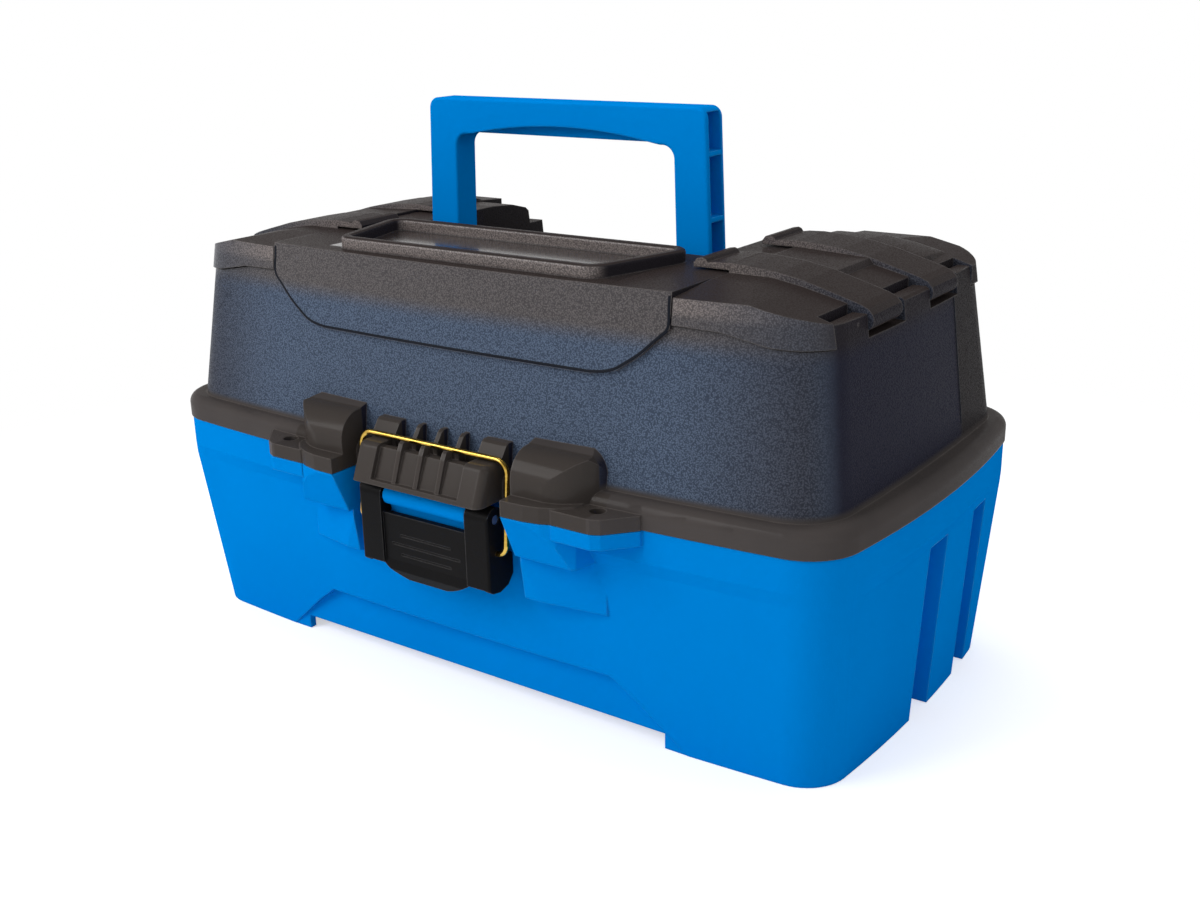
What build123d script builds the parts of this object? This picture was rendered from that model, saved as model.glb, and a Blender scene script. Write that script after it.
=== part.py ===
from build123d import *
import math
import os

# Tackle box with a hinged lid, two stepping trays, two top doors and a draw latch.
# Millimetres. X runs along the width, Y to the rear, Z up.
# The origin is the middle of the footprint on the ground.

# Overall case
FLANGE_WIDTH = 380.0
FLANGE_DEPTH = 210.0
FLANGE_CORNER = 24.0
FLANGE_BOW = (9.0, 8.0)        # how far the long and short sides bow outward
PARTING_Z = 103.0              # top of the base rim
SEAL_GAP = 0.3                 # between the closed lid and the base rim

# Base tub
FOOT_WIDTH = 364.0
FOOT_DEPTH = 183.0
FOOT_CORNER = 20.0
FOOT_BOW = (6.5, 5.0)
SHOULDER_Z = 83.0              # underside of the rim band
SHOULDER_WIDTH = 374.0
SHOULDER_DEPTH = 202.0
TUB_WALL = 2.4
TUB_FLOOR_Z = 7.0              # the floor stands clear of the ground on a skirt
SKIRT_WALL = 4.0
ARCH_TOP_HALF = 82.0
ARCH_FOOT_HALF = 117.0
ARCH_TOP_Z = 29.0
ARCH_FACE_Y = 88.5             # set-back face of the front and rear arches
SLOT_TOP_Z = 82.0
SLOT_FACE_X = 173.5
SIDE_SLOTS = [(-10.5, 8.5), (40.5, 57.0)]

# Lid shell
LID_WALL = 2.3
BAND_TOP_Z = 114.5
BAND_ROUND = 5.0
BODY_LOW_Z = 112.0
BODY_LOW = (360.6, 197.0)
BODY_TOP_Z = 196.0
BODY_TOP = (339.4, 177.0)
BODY_CORNER = 24.0
BODY_BOW = (8.0, 3.0)
DOOR_SEAM_X = 108.8            # where the middle block ends and a door begins
SILL_IN_Z = 182.8              # door sill height at the seam
SILL_BENDS = [(130.0, 182.2), (141.0, 180.2), (150.0, 178.6), (160.0, 177.8)]
SILL_OUT_Z = 177.4             # door sill height at the outer wall
SILL_OUT_X = 170.4
APRON_PROUD = 1.8              # styled panel standing off the lid front
RIM_TOP_Z = 201.5
RIM_WALL = 5.0
REAR_FALL = [(45.0, 196.0), (62.0, 194.6), (73.5, 191.6), (76.0, 189.6), (77.0, 182.8)]
TROUGH_HALF = 86.0             # handle trough behind the raised rim
TROUGH_FRONT_Y = -19.0
TROUGH_FLOOR_Z = 174.0
POCKET_X = (113.0, 157.5)      # top compartment under each door
POCKET_HALF_Y = 66.0
POCKET_FLOOR_Z = 166.3
POCKET_WALL = 2.0

# Lid hinge at the rear
HINGE_Y = 110.8
HINGE_Z = 103.2
HINGE_PIN_R = 2.0
HINGE_KNUCKLE_R = 5.6
HINGE_STATIONS = [-105.0, 105.0]
KNUCKLE_LENGTH = 14.0
KNUCKLE_GAP = 0.4
RUNNING_FIT = 0.08             # radial play of every turning pin

# Top doors
DOOR_GAP = 0.6
DOOR_SKIN = 2.4
DOOR_AXIS_X = 168.2
DOOR_AXIS_Z = 183.6
DOOR_PIN_R = 1.6
STRAP_KNUCKLE_R = 4.4
STRAPS_Y = [(-45.3, -18.9), (12.2, 38.6)]
EARS_Y = [(-69.5, -46.1), (-13.3, 11.4), (43.2, 60.0)]
EAR_X = (162.4, 175.0)         # cut to the wall outside
CAP_END_X = 161.3              # the cap ends here between its two outer corners
DOOR_REAR_Y = 81.8
CAP_CROWN = [(-95.0, 193.2), (-45.0, 197.1), (38.3, 197.1), (88.3, 193.2)]
CAP_CURVE = [(109.4, 197.1), (120.0, 196.8), (131.0, 195.6), (142.2, 193.7), (152.9, 191.3),
             (161.3, 189.3), (170.4, 186.6)]
STRAP_CURVE = [(109.4, 200.0), (118.0, 199.6), (131.0, 198.4), (143.0, 196.2), (158.4, 192.0),
               (166.4, 189.7), (170.0, 188.2), (172.0, 186.0)]
PULL_X = (93.0, 99.5)          # raised finger bar at the inner end of each strap
PULL_TOP_Z = 201.0

# Carry handle
HANDLE_Y = -2.8
HANDLE_Z = 182.0
HANDLE_THICK = 14.5
HANDLE_TOP_Z = 256.5
HANDLE_HALF_TOP = 77.0
HANDLE_HALF_LOW = 80.2
GRIP_UNDER_Z = 240.0
GRIP_ARCH_Z = 245.5
OPENING_HALF_TOP = 61.0
OPENING_HALF_LOW = 62.6
HANDLE_PIN_R = 2.5
HANDLE_WALL = 2.2
HANDLE_RIB_Z = [237.0, 209.0]

# Draw latch
CATCH_HALF = 36.5
CATCH_LOW_Y = -121.0
CATCH_TOP_Y = -114.2
CATCH_FRONT_Z = 119.6          # top of the end blocks, where the bar lies
CATCH_REAR_Z = 126.6           # blocks and ribs behind the bar
CATCH_ROUND = 3.0
FIN_X = [-12.2, 0.0, 12.2]
FIN_THICK = 2.2
FIN_PEAK_Z = 122.4
WINDOW_HALF = 24.5
WINDOW_LOW_Z = 105.2
WINDOW_DEPTH = 2.6
PANEL_TOP_Z = 118.0            # top of the thin wall between the fins
SHELF_Z = 116.4
GROOVE_Y = (-109.0, -104.6)
LEVER_Y = -110.3               # lever pivot
LEVER_Z = 96.0
LEVER_PIN_R = 2.0
LEVER_KNUCKLE_R = 5.4
LEVER_HALF = 36.6
ARM_INNER = 24.0
LEVER_PLATE = 3.0
LEVER_RECESS = 1.3             # the panel lies this far behind the two columns
LEVER_LOW_Z = 65.0
LEVER_PANEL_TOP_Z = 88.6
SIDE_PLATE_REAR_Y = -99.8
BAIL_R = 1.2
BAIL_HALF = 41.2
BAIL_BEND = (4.4, 6.0)         # bend radius at the feet and at the bar
BAIL_FOOT_Y = -109.8
BAIL_FOOT_Z = 80.6
BAIL_TOP_Y = -106.4
BAIL_TOP_Z = 121.4
LATCH_BAY_HALF = 47.7          # half width of the bay between the two shrouds
BAY_FACE_Y = -99.4
BAY_LOW_Z = 58.0
SHROUD_FRONT_Y = -120.5
DOME_END_X = 84.0
DOME_TOP_Z = 130.8

# Padlock eyes
EYE_X = 87.0
EYE_Y = -107.4
EYE_R = 3.4
EYE_TOP_Z = 109.6
EYE_LOW_Z = 96.5

# Stepping trays and their arms
TRAY_HALF = 164.0
TRAY_FRONT_Y = -80.0
TRAY_REAR_Y = 48.0
TRAY_CORNER = 14.0
TRAY_WALL = 2.0
LOWER_TRAY_Z = (84.0, 110.5)
UPPER_TRAY_Z = (112.0, 140.5)
LINK_TO_LID = (18.0, 122.0)    # y and z of the pin between upper tray and lid
LINK_POST_X = (166.6, 177.8)
FRONT_ARM_BASE = (30.0, 97.0)
ARM_SHARE = 0.5                # how far up the arm the lower tray is pinned
REAR_ARM_STEP = (30.0, -10.0)  # rear arm pins measured from the front arm pins
FRONT_ARM_X = (171.0, 173.5)
REAR_ARM_X = (166.0, 168.5)
ARM_HALF_WIDTH = 5.5
ARM_PIN_R = 2.0
RIVET_HEAD_R = 3.8
DIVIDER_THICK = 1.6
UPPER_DIVIDERS_X = [-82.0, 0.0, 82.0]
LOWER_DIVIDERS_X = [-55.0, 55.0]

# The upper tray, the lid and the front arm form a parallelogram with the base,
# so the front arm pin on the upper tray follows from the other three pins.
UPPER_ARM_PIN = (
    FRONT_ARM_BASE[0] + LINK_TO_LID[0] - HINGE_Y,
    FRONT_ARM_BASE[1] + LINK_TO_LID[1] - HINGE_Z,
)
LOWER_ARM_PIN = (
    FRONT_ARM_BASE[0] + ARM_SHARE * (UPPER_ARM_PIN[0] - FRONT_ARM_BASE[0]),
    FRONT_ARM_BASE[1] + ARM_SHARE * (UPPER_ARM_PIN[1] - FRONT_ARM_BASE[1]),
)
REAR_ARM_BASE = (FRONT_ARM_BASE[0] + REAR_ARM_STEP[0], FRONT_ARM_BASE[1] + REAR_ARM_STEP[1])
REAR_ARM_PIN = (LOWER_ARM_PIN[0] + REAR_ARM_STEP[0], LOWER_ARM_PIN[1] + REAR_ARM_STEP[1])
LID_LOW_Z = PARTING_Z + SEAL_GAP

# Each door pin runs from the ear before its strap into the ear behind it.
PIN_BITE = 8.0
DOOR_PINS_Y = [(EARS_Y[0][1] - PIN_BITE, EARS_Y[1][0] + PIN_BITE),
               (EARS_Y[1][1] - PIN_BITE, EARS_Y[2][0] + PIN_BITE)]

os.makedirs("parts", exist_ok=True)


def save(builder, name):
    """Label the finished piece and write its STEP file."""
    builder.part.label = name
    export_step(builder.part, "parts/" + name + ".step")


def bowed_plan(width, depth, corner, bow):
    """Rounded rectangle with gently bowed sides, drawn in the open sketch."""
    x = width / 2 - bow[1]
    y = depth / 2 - bow[0]
    with BuildSketch(mode=Mode.PRIVATE) as plan:
        with BuildLine():
            ThreePointArc((-x, -y), (0, -depth / 2), (x, -y))
            ThreePointArc((x, -y), (width / 2, 0), (x, y))
            ThreePointArc((x, y), (0, depth / 2), (-x, y))
            ThreePointArc((-x, y), (-width / 2, 0), (-x, -y))
        make_face()
        fillet(plan.vertices(), corner)
    add(plan.sketch)


def tapered_body(low_z, low, high_z, high, corner, bow, inset=0.0):
    """Solid between two bowed plans, each pulled in by the inset."""
    with BuildPart(mode=Mode.PRIVATE) as body:
        with BuildSketch(Plane.XY.offset(low_z)):
            bowed_plan(low[0] - 2 * inset, low[1] - 2 * inset, corner - inset, bow)
        with BuildSketch(Plane.XY.offset(high_z)):
            bowed_plan(high[0] - 2 * inset, high[1] - 2 * inset, corner - inset, bow)
        loft(ruled=True)
    return body.part


def side_prism(points, x_from, x_to):
    """Prism along X from corner points given as (y, z)."""
    with BuildPart(mode=Mode.PRIVATE) as prism:
        with BuildSketch(Plane.YZ.offset(x_from)):
            with BuildLine():
                Polyline(points, close=True)
            make_face()
        extrude(amount=x_to - x_from)
    return prism.part


def front_prism(points, y_from, y_to):
    """Prism along Y from corner points given as (x, z)."""
    with BuildPart(mode=Mode.PRIVATE) as prism:
        with BuildSketch(Plane.XZ.offset(-y_from)):
            with BuildLine():
                Polyline(points, close=True)
            make_face()
        extrude(amount=y_from - y_to)
    return prism.part


def plan_prism(points, z_from, z_to):
    """Prism along Z from corner points given as (x, y)."""
    with BuildPart(mode=Mode.PRIVATE) as prism:
        with BuildSketch(Plane.XY.offset(z_from)):
            with BuildLine():
                Polyline(points, close=True)
            make_face()
        extrude(amount=z_to - z_from)
    return prism.part


def x_rod(y, z, radius, x_from, x_to):
    """Round bar along X."""
    with BuildPart(mode=Mode.PRIVATE) as rod:
        with BuildSketch(Plane.YZ.offset(x_from)):
            with Locations((y, z)):
                Circle(radius)
        extrude(amount=x_to - x_from)
    return rod.part


def y_rod(x, z, radius, y_from, y_to):
    """Round bar along Y."""
    with BuildPart(mode=Mode.PRIVATE) as rod:
        with BuildSketch(Plane.XZ.offset(-y_from)):
            with Locations((x, z)):
                Circle(radius)
        extrude(amount=y_from - y_to)
    return rod.part


def block(x_range, y_range, z_range):
    """Plain box between three pairs of limits."""
    with BuildPart(mode=Mode.PRIVATE) as box:
        with Locations((sum(x_range) / 2, sum(y_range) / 2, sum(z_range) / 2)):
            Box(x_range[1] - x_range[0], y_range[1] - y_range[0], z_range[1] - z_range[0])
    return box.part


def both_sides(shape):
    """The shape together with its mirror image across the middle plane."""
    return [shape, mirror(shape, about=Plane.YZ)]


# Rivet layout shared by trays, arms and posts: name, (y, z), x start, x end
POST_FACE_FRONT = FRONT_ARM_X[1] + 0.4
POST_FACE_REAR = REAR_ARM_X[1] + 0.4


# Base tub: cavity first, with the arches and side slots kept out of it
arch_outline = [
    (-ARCH_FOOT_HALF, -1.0),
    (-ARCH_FOOT_HALF, 0.0),
    (-ARCH_TOP_HALF - 12.0, ARCH_TOP_Z - 9.0),
    (-ARCH_TOP_HALF, ARCH_TOP_Z),
    (ARCH_TOP_HALF, ARCH_TOP_Z),
    (ARCH_TOP_HALF + 12.0, ARCH_TOP_Z - 9.0),
    (ARCH_FOOT_HALF, 0.0),
    (ARCH_FOOT_HALF, -1.0),
]

with BuildPart() as tub_cavity:
    add(tapered_body(0.0, (FOOT_WIDTH, FOOT_DEPTH), SHOULDER_Z, (SHOULDER_WIDTH, SHOULDER_DEPTH),
                     FOOT_CORNER, FOOT_BOW, TUB_WALL))
    with BuildSketch(Plane.XY.offset(SHOULDER_Z)):
        bowed_plan(SHOULDER_WIDTH - 2 * TUB_WALL, SHOULDER_DEPTH - 2 * TUB_WALL,
                   FOOT_CORNER - TUB_WALL, FOOT_BOW)
    extrude(amount=PARTING_Z - SHOULDER_Z + 1)
    add(block((-200, 200), (-120, 120), (-1, TUB_FLOOR_Z + TUB_WALL)), mode=Mode.SUBTRACT)
    add(block((-LATCH_BAY_HALF - TUB_WALL, LATCH_BAY_HALF + TUB_WALL),
              (-120, BAY_FACE_Y + TUB_WALL), (BAY_LOW_Z - TUB_WALL, 110)), mode=Mode.SUBTRACT)
    for side in (-1, 1):
        face = side * (ARCH_FACE_Y - TUB_WALL)
        y_range = (min(face, side * 130), max(face, side * 130))
        add(block((-ARCH_FOOT_HALF, ARCH_FOOT_HALF), y_range, (0, ARCH_TOP_Z + TUB_WALL)),
            mode=Mode.SUBTRACT)
        for y_low, y_high in SIDE_SLOTS:
            wall_x = side * (SLOT_FACE_X - TUB_WALL)
            x_range = (min(wall_x, side * 200), max(wall_x, side * 200))
            add(block(x_range, (y_low - TUB_WALL, y_high + TUB_WALL), (0, SLOT_TOP_Z + TUB_WALL)),
                mode=Mode.SUBTRACT)

# Front shrouds that flank the latch, drawn for the right side
shroud_plan = [
    (LATCH_BAY_HALF, -90.0),
    (LATCH_BAY_HALF, SHROUD_FRONT_Y),
    (59.0, SHROUD_FRONT_Y + 0.5),
    (66.0, -118.6),
    (72.0, -116.0),
    (78.0, -110.5),
    (82.0, -90.0),
]
base_shroud_side = [
    (SHROUD_FRONT_Y, PARTING_Z),
    (-111.8, SHOULDER_Z),
    (-90.0, SHOULDER_Z),
    (-90.0, PARTING_Z),
]
eye_plan = [
    (70.5, -95.0),
    (70.5, -117.0),
    (89.5, -117.0),
    (93.5, -115.0),
    (104.0, -103.0),
    (104.0, -95.0),
]
pad_plan = [(48.0, -90.0), (48.0, -109.0), (84.0, -98.0), (84.0, -90.0)]
pad_side = [(-109.5, SHOULDER_Z), (-106.5, 62.0), (-90.0, 57.0), (-90.0, SHOULDER_Z)]

with BuildPart() as base_shroud:
    add(plan_prism(shroud_plan, SHOULDER_Z, PARTING_Z))
    add(side_prism(base_shroud_side, 40.0, 90.0), mode=Mode.INTERSECT)
    add(plan_prism(eye_plan, EYE_LOW_Z, PARTING_Z))
    with Locations((EYE_X, EYE_Y, PARTING_Z - 5)):
        Cylinder(EYE_R, 20, mode=Mode.SUBTRACT)

with BuildPart() as base_pad:
    add(plan_prism(pad_plan, 50.0, SHOULDER_Z + 0.5))
    add(side_prism(pad_side, 40.0, 90.0), mode=Mode.INTERSECT)

# Boss between the lever arms that carries the lever pin
boss_nose_r = LEVER_KNUCKLE_R - 0.9
lever_boss_side = [
    (BAY_FACE_Y + 1.0, PARTING_Z - 1.5),
    (LEVER_Y, LEVER_Z + boss_nose_r),
    (LEVER_Y, LEVER_Z - boss_nose_r),
    (LEVER_Y + 1.0, LEVER_PANEL_TOP_Z - 1.0),
    (BAY_FACE_Y + 1.0, 76.0),
]

# Hinge knuckles on the base: two per station, outside the lid knuckle
base_knuckle_side = [
    (96.0, 101.8),
    (HINGE_Y - 5.0, 101.8),
    (HINGE_Y, HINGE_Z),
    (HINGE_Y + 4.4, 100.6),
    (100.0, 90.0),
    (96.0, 90.0),
]

with BuildPart() as base_tub:
    add(tapered_body(0.0, (FOOT_WIDTH, FOOT_DEPTH), SHOULDER_Z, (SHOULDER_WIDTH, SHOULDER_DEPTH),
                     FOOT_CORNER, FOOT_BOW))
    with BuildSketch(Plane.XY.offset(SHOULDER_Z)):
        bowed_plan(SHOULDER_WIDTH, SHOULDER_DEPTH, FOOT_CORNER, FOOT_BOW)
    with BuildSketch(Plane.XY.offset(SHOULDER_Z + 6.0)):
        bowed_plan(FLANGE_WIDTH - 1.0, FLANGE_DEPTH - 1.0, FLANGE_CORNER, FLANGE_BOW)
    loft(ruled=True)
    with BuildSketch(Plane.XY.offset(SHOULDER_Z + 6.0)):
        bowed_plan(FLANGE_WIDTH - 1.0, FLANGE_DEPTH - 1.0, FLANGE_CORNER, FLANGE_BOW)
    extrude(amount=PARTING_Z - SHOULDER_Z - 6.0)
    # bay behind the lever
    add(block((-LATCH_BAY_HALF, LATCH_BAY_HALF), (-125, BAY_FACE_Y), (BAY_LOW_Z, 110)),
        mode=Mode.SUBTRACT)
    # shrouds, pads and eyes
    for shape in both_sides(base_shroud.part) + both_sides(base_pad.part):
        add(shape)
    add(side_prism(lever_boss_side, -ARM_INNER + 0.8, ARM_INNER - 0.8))
    add(x_rod(LEVER_Y, LEVER_Z, boss_nose_r, -ARM_INNER + 0.8, ARM_INNER - 0.8))
    # rear hinge knuckles
    for station in HINGE_STATIONS:
        for side in (-1, 1):
            near = station + side * (KNUCKLE_LENGTH / 2 + KNUCKLE_GAP)
            far = near + side * KNUCKLE_LENGTH
            add(side_prism(base_knuckle_side, min(near, far), max(near, far)))
            add(x_rod(HINGE_Y, HINGE_Z, HINGE_KNUCKLE_R, min(near, far), max(near, far)))
    # hollow inside, set-back arches, side slots and the skirt underneath
    add(tub_cavity.part, mode=Mode.SUBTRACT)
    for side in (-1, 1):
        y_near = side * ARCH_FACE_Y
        y_far = side * 125.0
        add(front_prism(arch_outline, max(y_near, y_far), min(y_near, y_far)), mode=Mode.SUBTRACT)
        for y_low, y_high in SIDE_SLOTS:
            wall_x = side * SLOT_FACE_X
            x_range = (min(wall_x, side * 200), max(wall_x, side * 200))
            add(block(x_range, (y_low, y_high), (-1, SLOT_TOP_Z)), mode=Mode.SUBTRACT)
    with BuildSketch(Plane.XY.offset(-1.0)):
        bowed_plan(FOOT_WIDTH - 2 * SKIRT_WALL, FOOT_DEPTH - 2 * SKIRT_WALL,
                   FOOT_CORNER - SKIRT_WALL, FOOT_BOW)
        for side in (-1, 1):
            for y_low, y_high in SIDE_SLOTS:
                with Locations((side * (SLOT_FACE_X + 6.0), (y_low + y_high) / 2)):
                    Rectangle(12.0 + 2 * SKIRT_WALL, y_high - y_low + 2 * SKIRT_WALL,
                              mode=Mode.SUBTRACT)
    extrude(amount=TUB_FLOOR_Z + 1.0, mode=Mode.SUBTRACT)
    add(block((-106.0, 106.0), (-ARCH_FACE_Y - 2, ARCH_FACE_Y + 2), (-1, TUB_FLOOR_Z)),
        mode=Mode.SUBTRACT)
    # posts that carry the tray arms
    for pin, face, root in ((FRONT_ARM_BASE, POST_FACE_FRONT, 186.0),
                            (REAR_ARM_BASE, POST_FACE_REAR, 184.2)):
        for shape in both_sides(x_rod(pin[0], pin[1], 5.0, face, root)):
            add(shape)
        for shape in both_sides(x_rod(pin[0], pin[1], ARM_PIN_R, face - 1, 181.0)):
            add(shape, mode=Mode.SUBTRACT)
    # pin bores
    add(x_rod(LEVER_Y, LEVER_Z, LEVER_PIN_R, -30, 30), mode=Mode.SUBTRACT)
    for station in HINGE_STATIONS:
        reach = 1.5 * KNUCKLE_LENGTH + 2
        add(x_rod(HINGE_Y, HINGE_Z, HINGE_PIN_R, station - reach, station + reach),
            mode=Mode.SUBTRACT)
save(base_tub, "base_tub")

# Pins held by the base
with BuildPart() as hinge_pins:
    for station in HINGE_STATIONS:
        reach = 1.5 * KNUCKLE_LENGTH + KNUCKLE_GAP
        add(x_rod(HINGE_Y, HINGE_Z, HINGE_PIN_R, station - reach, station + reach))
save(hinge_pins, "hinge_pins")

with BuildPart() as latch_pivot_pin:
    add(x_rod(LEVER_Y, LEVER_Z, LEVER_PIN_R, -LEVER_HALF + 0.3, LEVER_HALF - 0.3))
save(latch_pivot_pin, "latch_pivot_pin")

with BuildPart() as arm_base_rivets:
    for pin, plane in ((FRONT_ARM_BASE, FRONT_ARM_X), (REAR_ARM_BASE, REAR_ARM_X)):
        for shape in both_sides(x_rod(pin[0], pin[1], ARM_PIN_R, plane[0] - 0.3, 181.0)):
            add(shape)
        for shape in both_sides(x_rod(pin[0], pin[1], RIVET_HEAD_R, plane[0] - 1.3, plane[0] - 0.3)):
            add(shape)
save(arm_base_rivets, "arm_base_rivets")

# Lid shell: cavity with the compartments, trough and walls kept out of it
sill_cut = [(DOOR_SEAM_X, SILL_IN_Z)] + SILL_BENDS + [
    (SILL_OUT_X, SILL_OUT_Z),
    (200.0, SILL_OUT_Z),
    (200.0, 230.0),
    (DOOR_SEAM_X, 230.0),
]
sill_skin = [(DOOR_SEAM_X - LID_WALL, 230.0), (DOOR_SEAM_X - LID_WALL, SILL_IN_Z - LID_WALL)]
sill_skin = sill_skin + [(x, z - LID_WALL) for x, z in SILL_BENDS]
sill_skin = sill_skin + [(200.0, SILL_OUT_Z - LID_WALL), (200.0, 230.0)]

# top of the middle block beside the trough, falling to a ledge at the rear
rear_cut = REAR_FALL + [(130.0, REAR_FALL[-1][1]), (130.0, 230.0), (REAR_FALL[0][0], 230.0)]
rear_skin = [(y - LID_WALL, z - LID_WALL) for y, z in rear_cut]

with BuildPart() as lid_cavity:
    add(tapered_body(BODY_LOW_Z, BODY_LOW, BODY_TOP_Z, BODY_TOP, BODY_CORNER, BODY_BOW, LID_WALL))
    with BuildSketch(Plane.XY.offset(LID_LOW_Z - 1)):
        bowed_plan(BODY_LOW[0] - 2 * LID_WALL, BODY_LOW[1] - 2 * LID_WALL,
                   BODY_CORNER - LID_WALL, BODY_BOW)
    extrude(amount=BODY_LOW_Z - LID_LOW_Z + 1)
    add(block((-200, 200), (-120, 120), (BODY_TOP_Z - LID_WALL, BODY_TOP_Z + 5)),
        mode=Mode.SUBTRACT)
    for shape in both_sides(front_prism(sill_skin, 120.0, -120.0)):
        add(shape, mode=Mode.SUBTRACT)
    add(side_prism(rear_skin, -DOOR_SEAM_X, DOOR_SEAM_X), mode=Mode.SUBTRACT)
    add(block((-TROUGH_HALF - LID_WALL, TROUGH_HALF + LID_WALL), (TROUGH_FRONT_Y - LID_WALL, 120),
              (TROUGH_FLOOR_Z - LID_WALL, 230)), mode=Mode.SUBTRACT)
    for shape in both_sides(block((POCKET_X[0] - POCKET_WALL, POCKET_X[1] + POCKET_WALL),
                                  (-POCKET_HALF_Y - POCKET_WALL, POCKET_HALF_Y + POCKET_WALL),
                                  (POCKET_FLOOR_Z - POCKET_WALL, 230))):
        add(shape, mode=Mode.SUBTRACT)

# Styled panel on the lid front, following the wall a little further out
apron_outline = [
    (-DOOR_SEAM_X, BODY_TOP_Z),
    (-DOOR_SEAM_X, SILL_IN_Z - 1.0),
    (-97.0, 170.5),
    (-86.0, 163.0),
    (-74.0, 160.5),
    (74.0, 160.5),
    (86.0, 163.0),
    (97.0, 170.5),
    (DOOR_SEAM_X, SILL_IN_Z - 1.0),
    (DOOR_SEAM_X, BODY_TOP_Z),
]
with BuildPart() as apron:
    add(tapered_body(BODY_LOW_Z, BODY_LOW, BODY_TOP_Z, BODY_TOP, BODY_CORNER + 2, BODY_BOW,
                     -APRON_PROUD))
    add(front_prism(apron_outline, -80.0, -120.0), mode=Mode.INTERSECT)

# Raised rim on the front half of the top
rim_plan = [(-71.0, -84.0), (71.0, -84.0), (86.0, -29.0), (-86.0, -29.0)]
with BuildPart() as raised_rim:
    with BuildSketch(Plane.XY.offset(BODY_TOP_Z - 3.0)):
        with BuildLine():
            Polyline(rim_plan, close=True)
        make_face()
        fillet(vertices(), 9.0)
        offset(amount=-RIM_WALL, mode=Mode.SUBTRACT)
    extrude(amount=RIM_TOP_Z - BODY_TOP_Z + 3.0)
    top_edges = raised_rim.edges().group_by(Axis.Z)[-1]
    fillet(top_edges, 1.6)

# Catch on the lid front: rounded end blocks, hooked fins over thin panels, and a
# second row of ribs behind the groove that takes the bar
catch_side = [
    (-92.0, LID_LOW_Z),
    (CATCH_LOW_Y, LID_LOW_Z),
    (CATCH_TOP_Y, CATCH_FRONT_Z),
    (-92.0, CATCH_FRONT_Z),
]
rear_block_side = [
    (GROOVE_Y[1], LID_LOW_Z),
    (GROOVE_Y[1], CATCH_FRONT_Z + 1.0),
    (-101.0, CATCH_REAR_Z - 1.0),
    (-99.5, CATCH_REAR_Z),
    (-92.0, CATCH_REAR_Z),
    (-92.0, LID_LOW_Z),
]
fin_side = [
    (CATCH_LOW_Y + 1.4, LID_LOW_Z),
    (CATCH_TOP_Y + 0.2, CATCH_FRONT_Z - 1.0),
    (CATCH_TOP_Y + 1.6, FIN_PEAK_Z - 1.0),
    (GROOVE_Y[0] - 2.4, FIN_PEAK_Z),
    (GROOVE_Y[0], FIN_PEAK_Z - 1.0),
    (GROOVE_Y[0], SHELF_Z - 2.0),
    (GROOVE_Y[0], LID_LOW_Z),
]
with BuildPart() as catch:
    add(side_prism(catch_side, -CATCH_HALF, CATCH_HALF))
    front_end = catch.faces().sort_by(Axis.Y)[0].edges().filter_by(Axis.X, reverse=True)
    fillet(front_end, 4.0)
    top_front = catch.faces().sort_by(Axis.Z)[-1].edges().sort_by(Axis.Y)[0:1]
    fillet(top_front, CATCH_ROUND)
    # recessed panels between the end blocks, open above and behind
    lean = (CATCH_TOP_Y - CATCH_LOW_Y) / (CATCH_FRONT_Z - LID_LOW_Z)
    panel_face = [
        (-130.0, WINDOW_LOW_Z),
        (CATCH_LOW_Y + WINDOW_DEPTH + lean * (WINDOW_LOW_Z - LID_LOW_Z), WINDOW_LOW_Z),
        (CATCH_TOP_Y + WINDOW_DEPTH, CATCH_FRONT_Z),
        (CATCH_TOP_Y + WINDOW_DEPTH, 130.0),
        (-130.0, 130.0),
    ]
    add(side_prism(panel_face, -WINDOW_HALF, WINDOW_HALF), mode=Mode.SUBTRACT)
    add(block((-WINDOW_HALF, WINDOW_HALF), (-125, -90), (PANEL_TOP_Z, 130)), mode=Mode.SUBTRACT)
    for x in (-1, 1):
        x_range = sorted((x * CATCH_HALF, x * WINDOW_HALF))
        add(side_prism(rear_block_side, *x_range))
    for x in FIN_X:
        add(side_prism(fin_side, x - FIN_THICK / 2, x + FIN_THICK / 2))
    for x in [-WINDOW_HALF] + FIN_X + [WINDOW_HALF]:
        add(side_prism(rear_block_side, x - FIN_THICK / 2, x + FIN_THICK / 2))
    # groove for the bar, and the hollow between the rear ribs
    add(block((-50, 50), GROOVE_Y, (BAIL_TOP_Z - BAIL_R - 0.15, 135)), mode=Mode.SUBTRACT)
    add(block((-WINDOW_HALF, WINDOW_HALF), GROOVE_Y, (SHELF_Z, 135)), mode=Mode.SUBTRACT)
    hollow_edges = [-WINDOW_HALF] + FIN_X + [WINDOW_HALF]
    for index in range(len(hollow_edges) - 1):
        left = hollow_edges[index] + FIN_THICK / 2
        right = hollow_edges[index + 1] - FIN_THICK / 2
        add(block((left, right), (GROOVE_Y[1], -100.5), (SHELF_Z - 4.0, 135)), mode=Mode.SUBTRACT)

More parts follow.
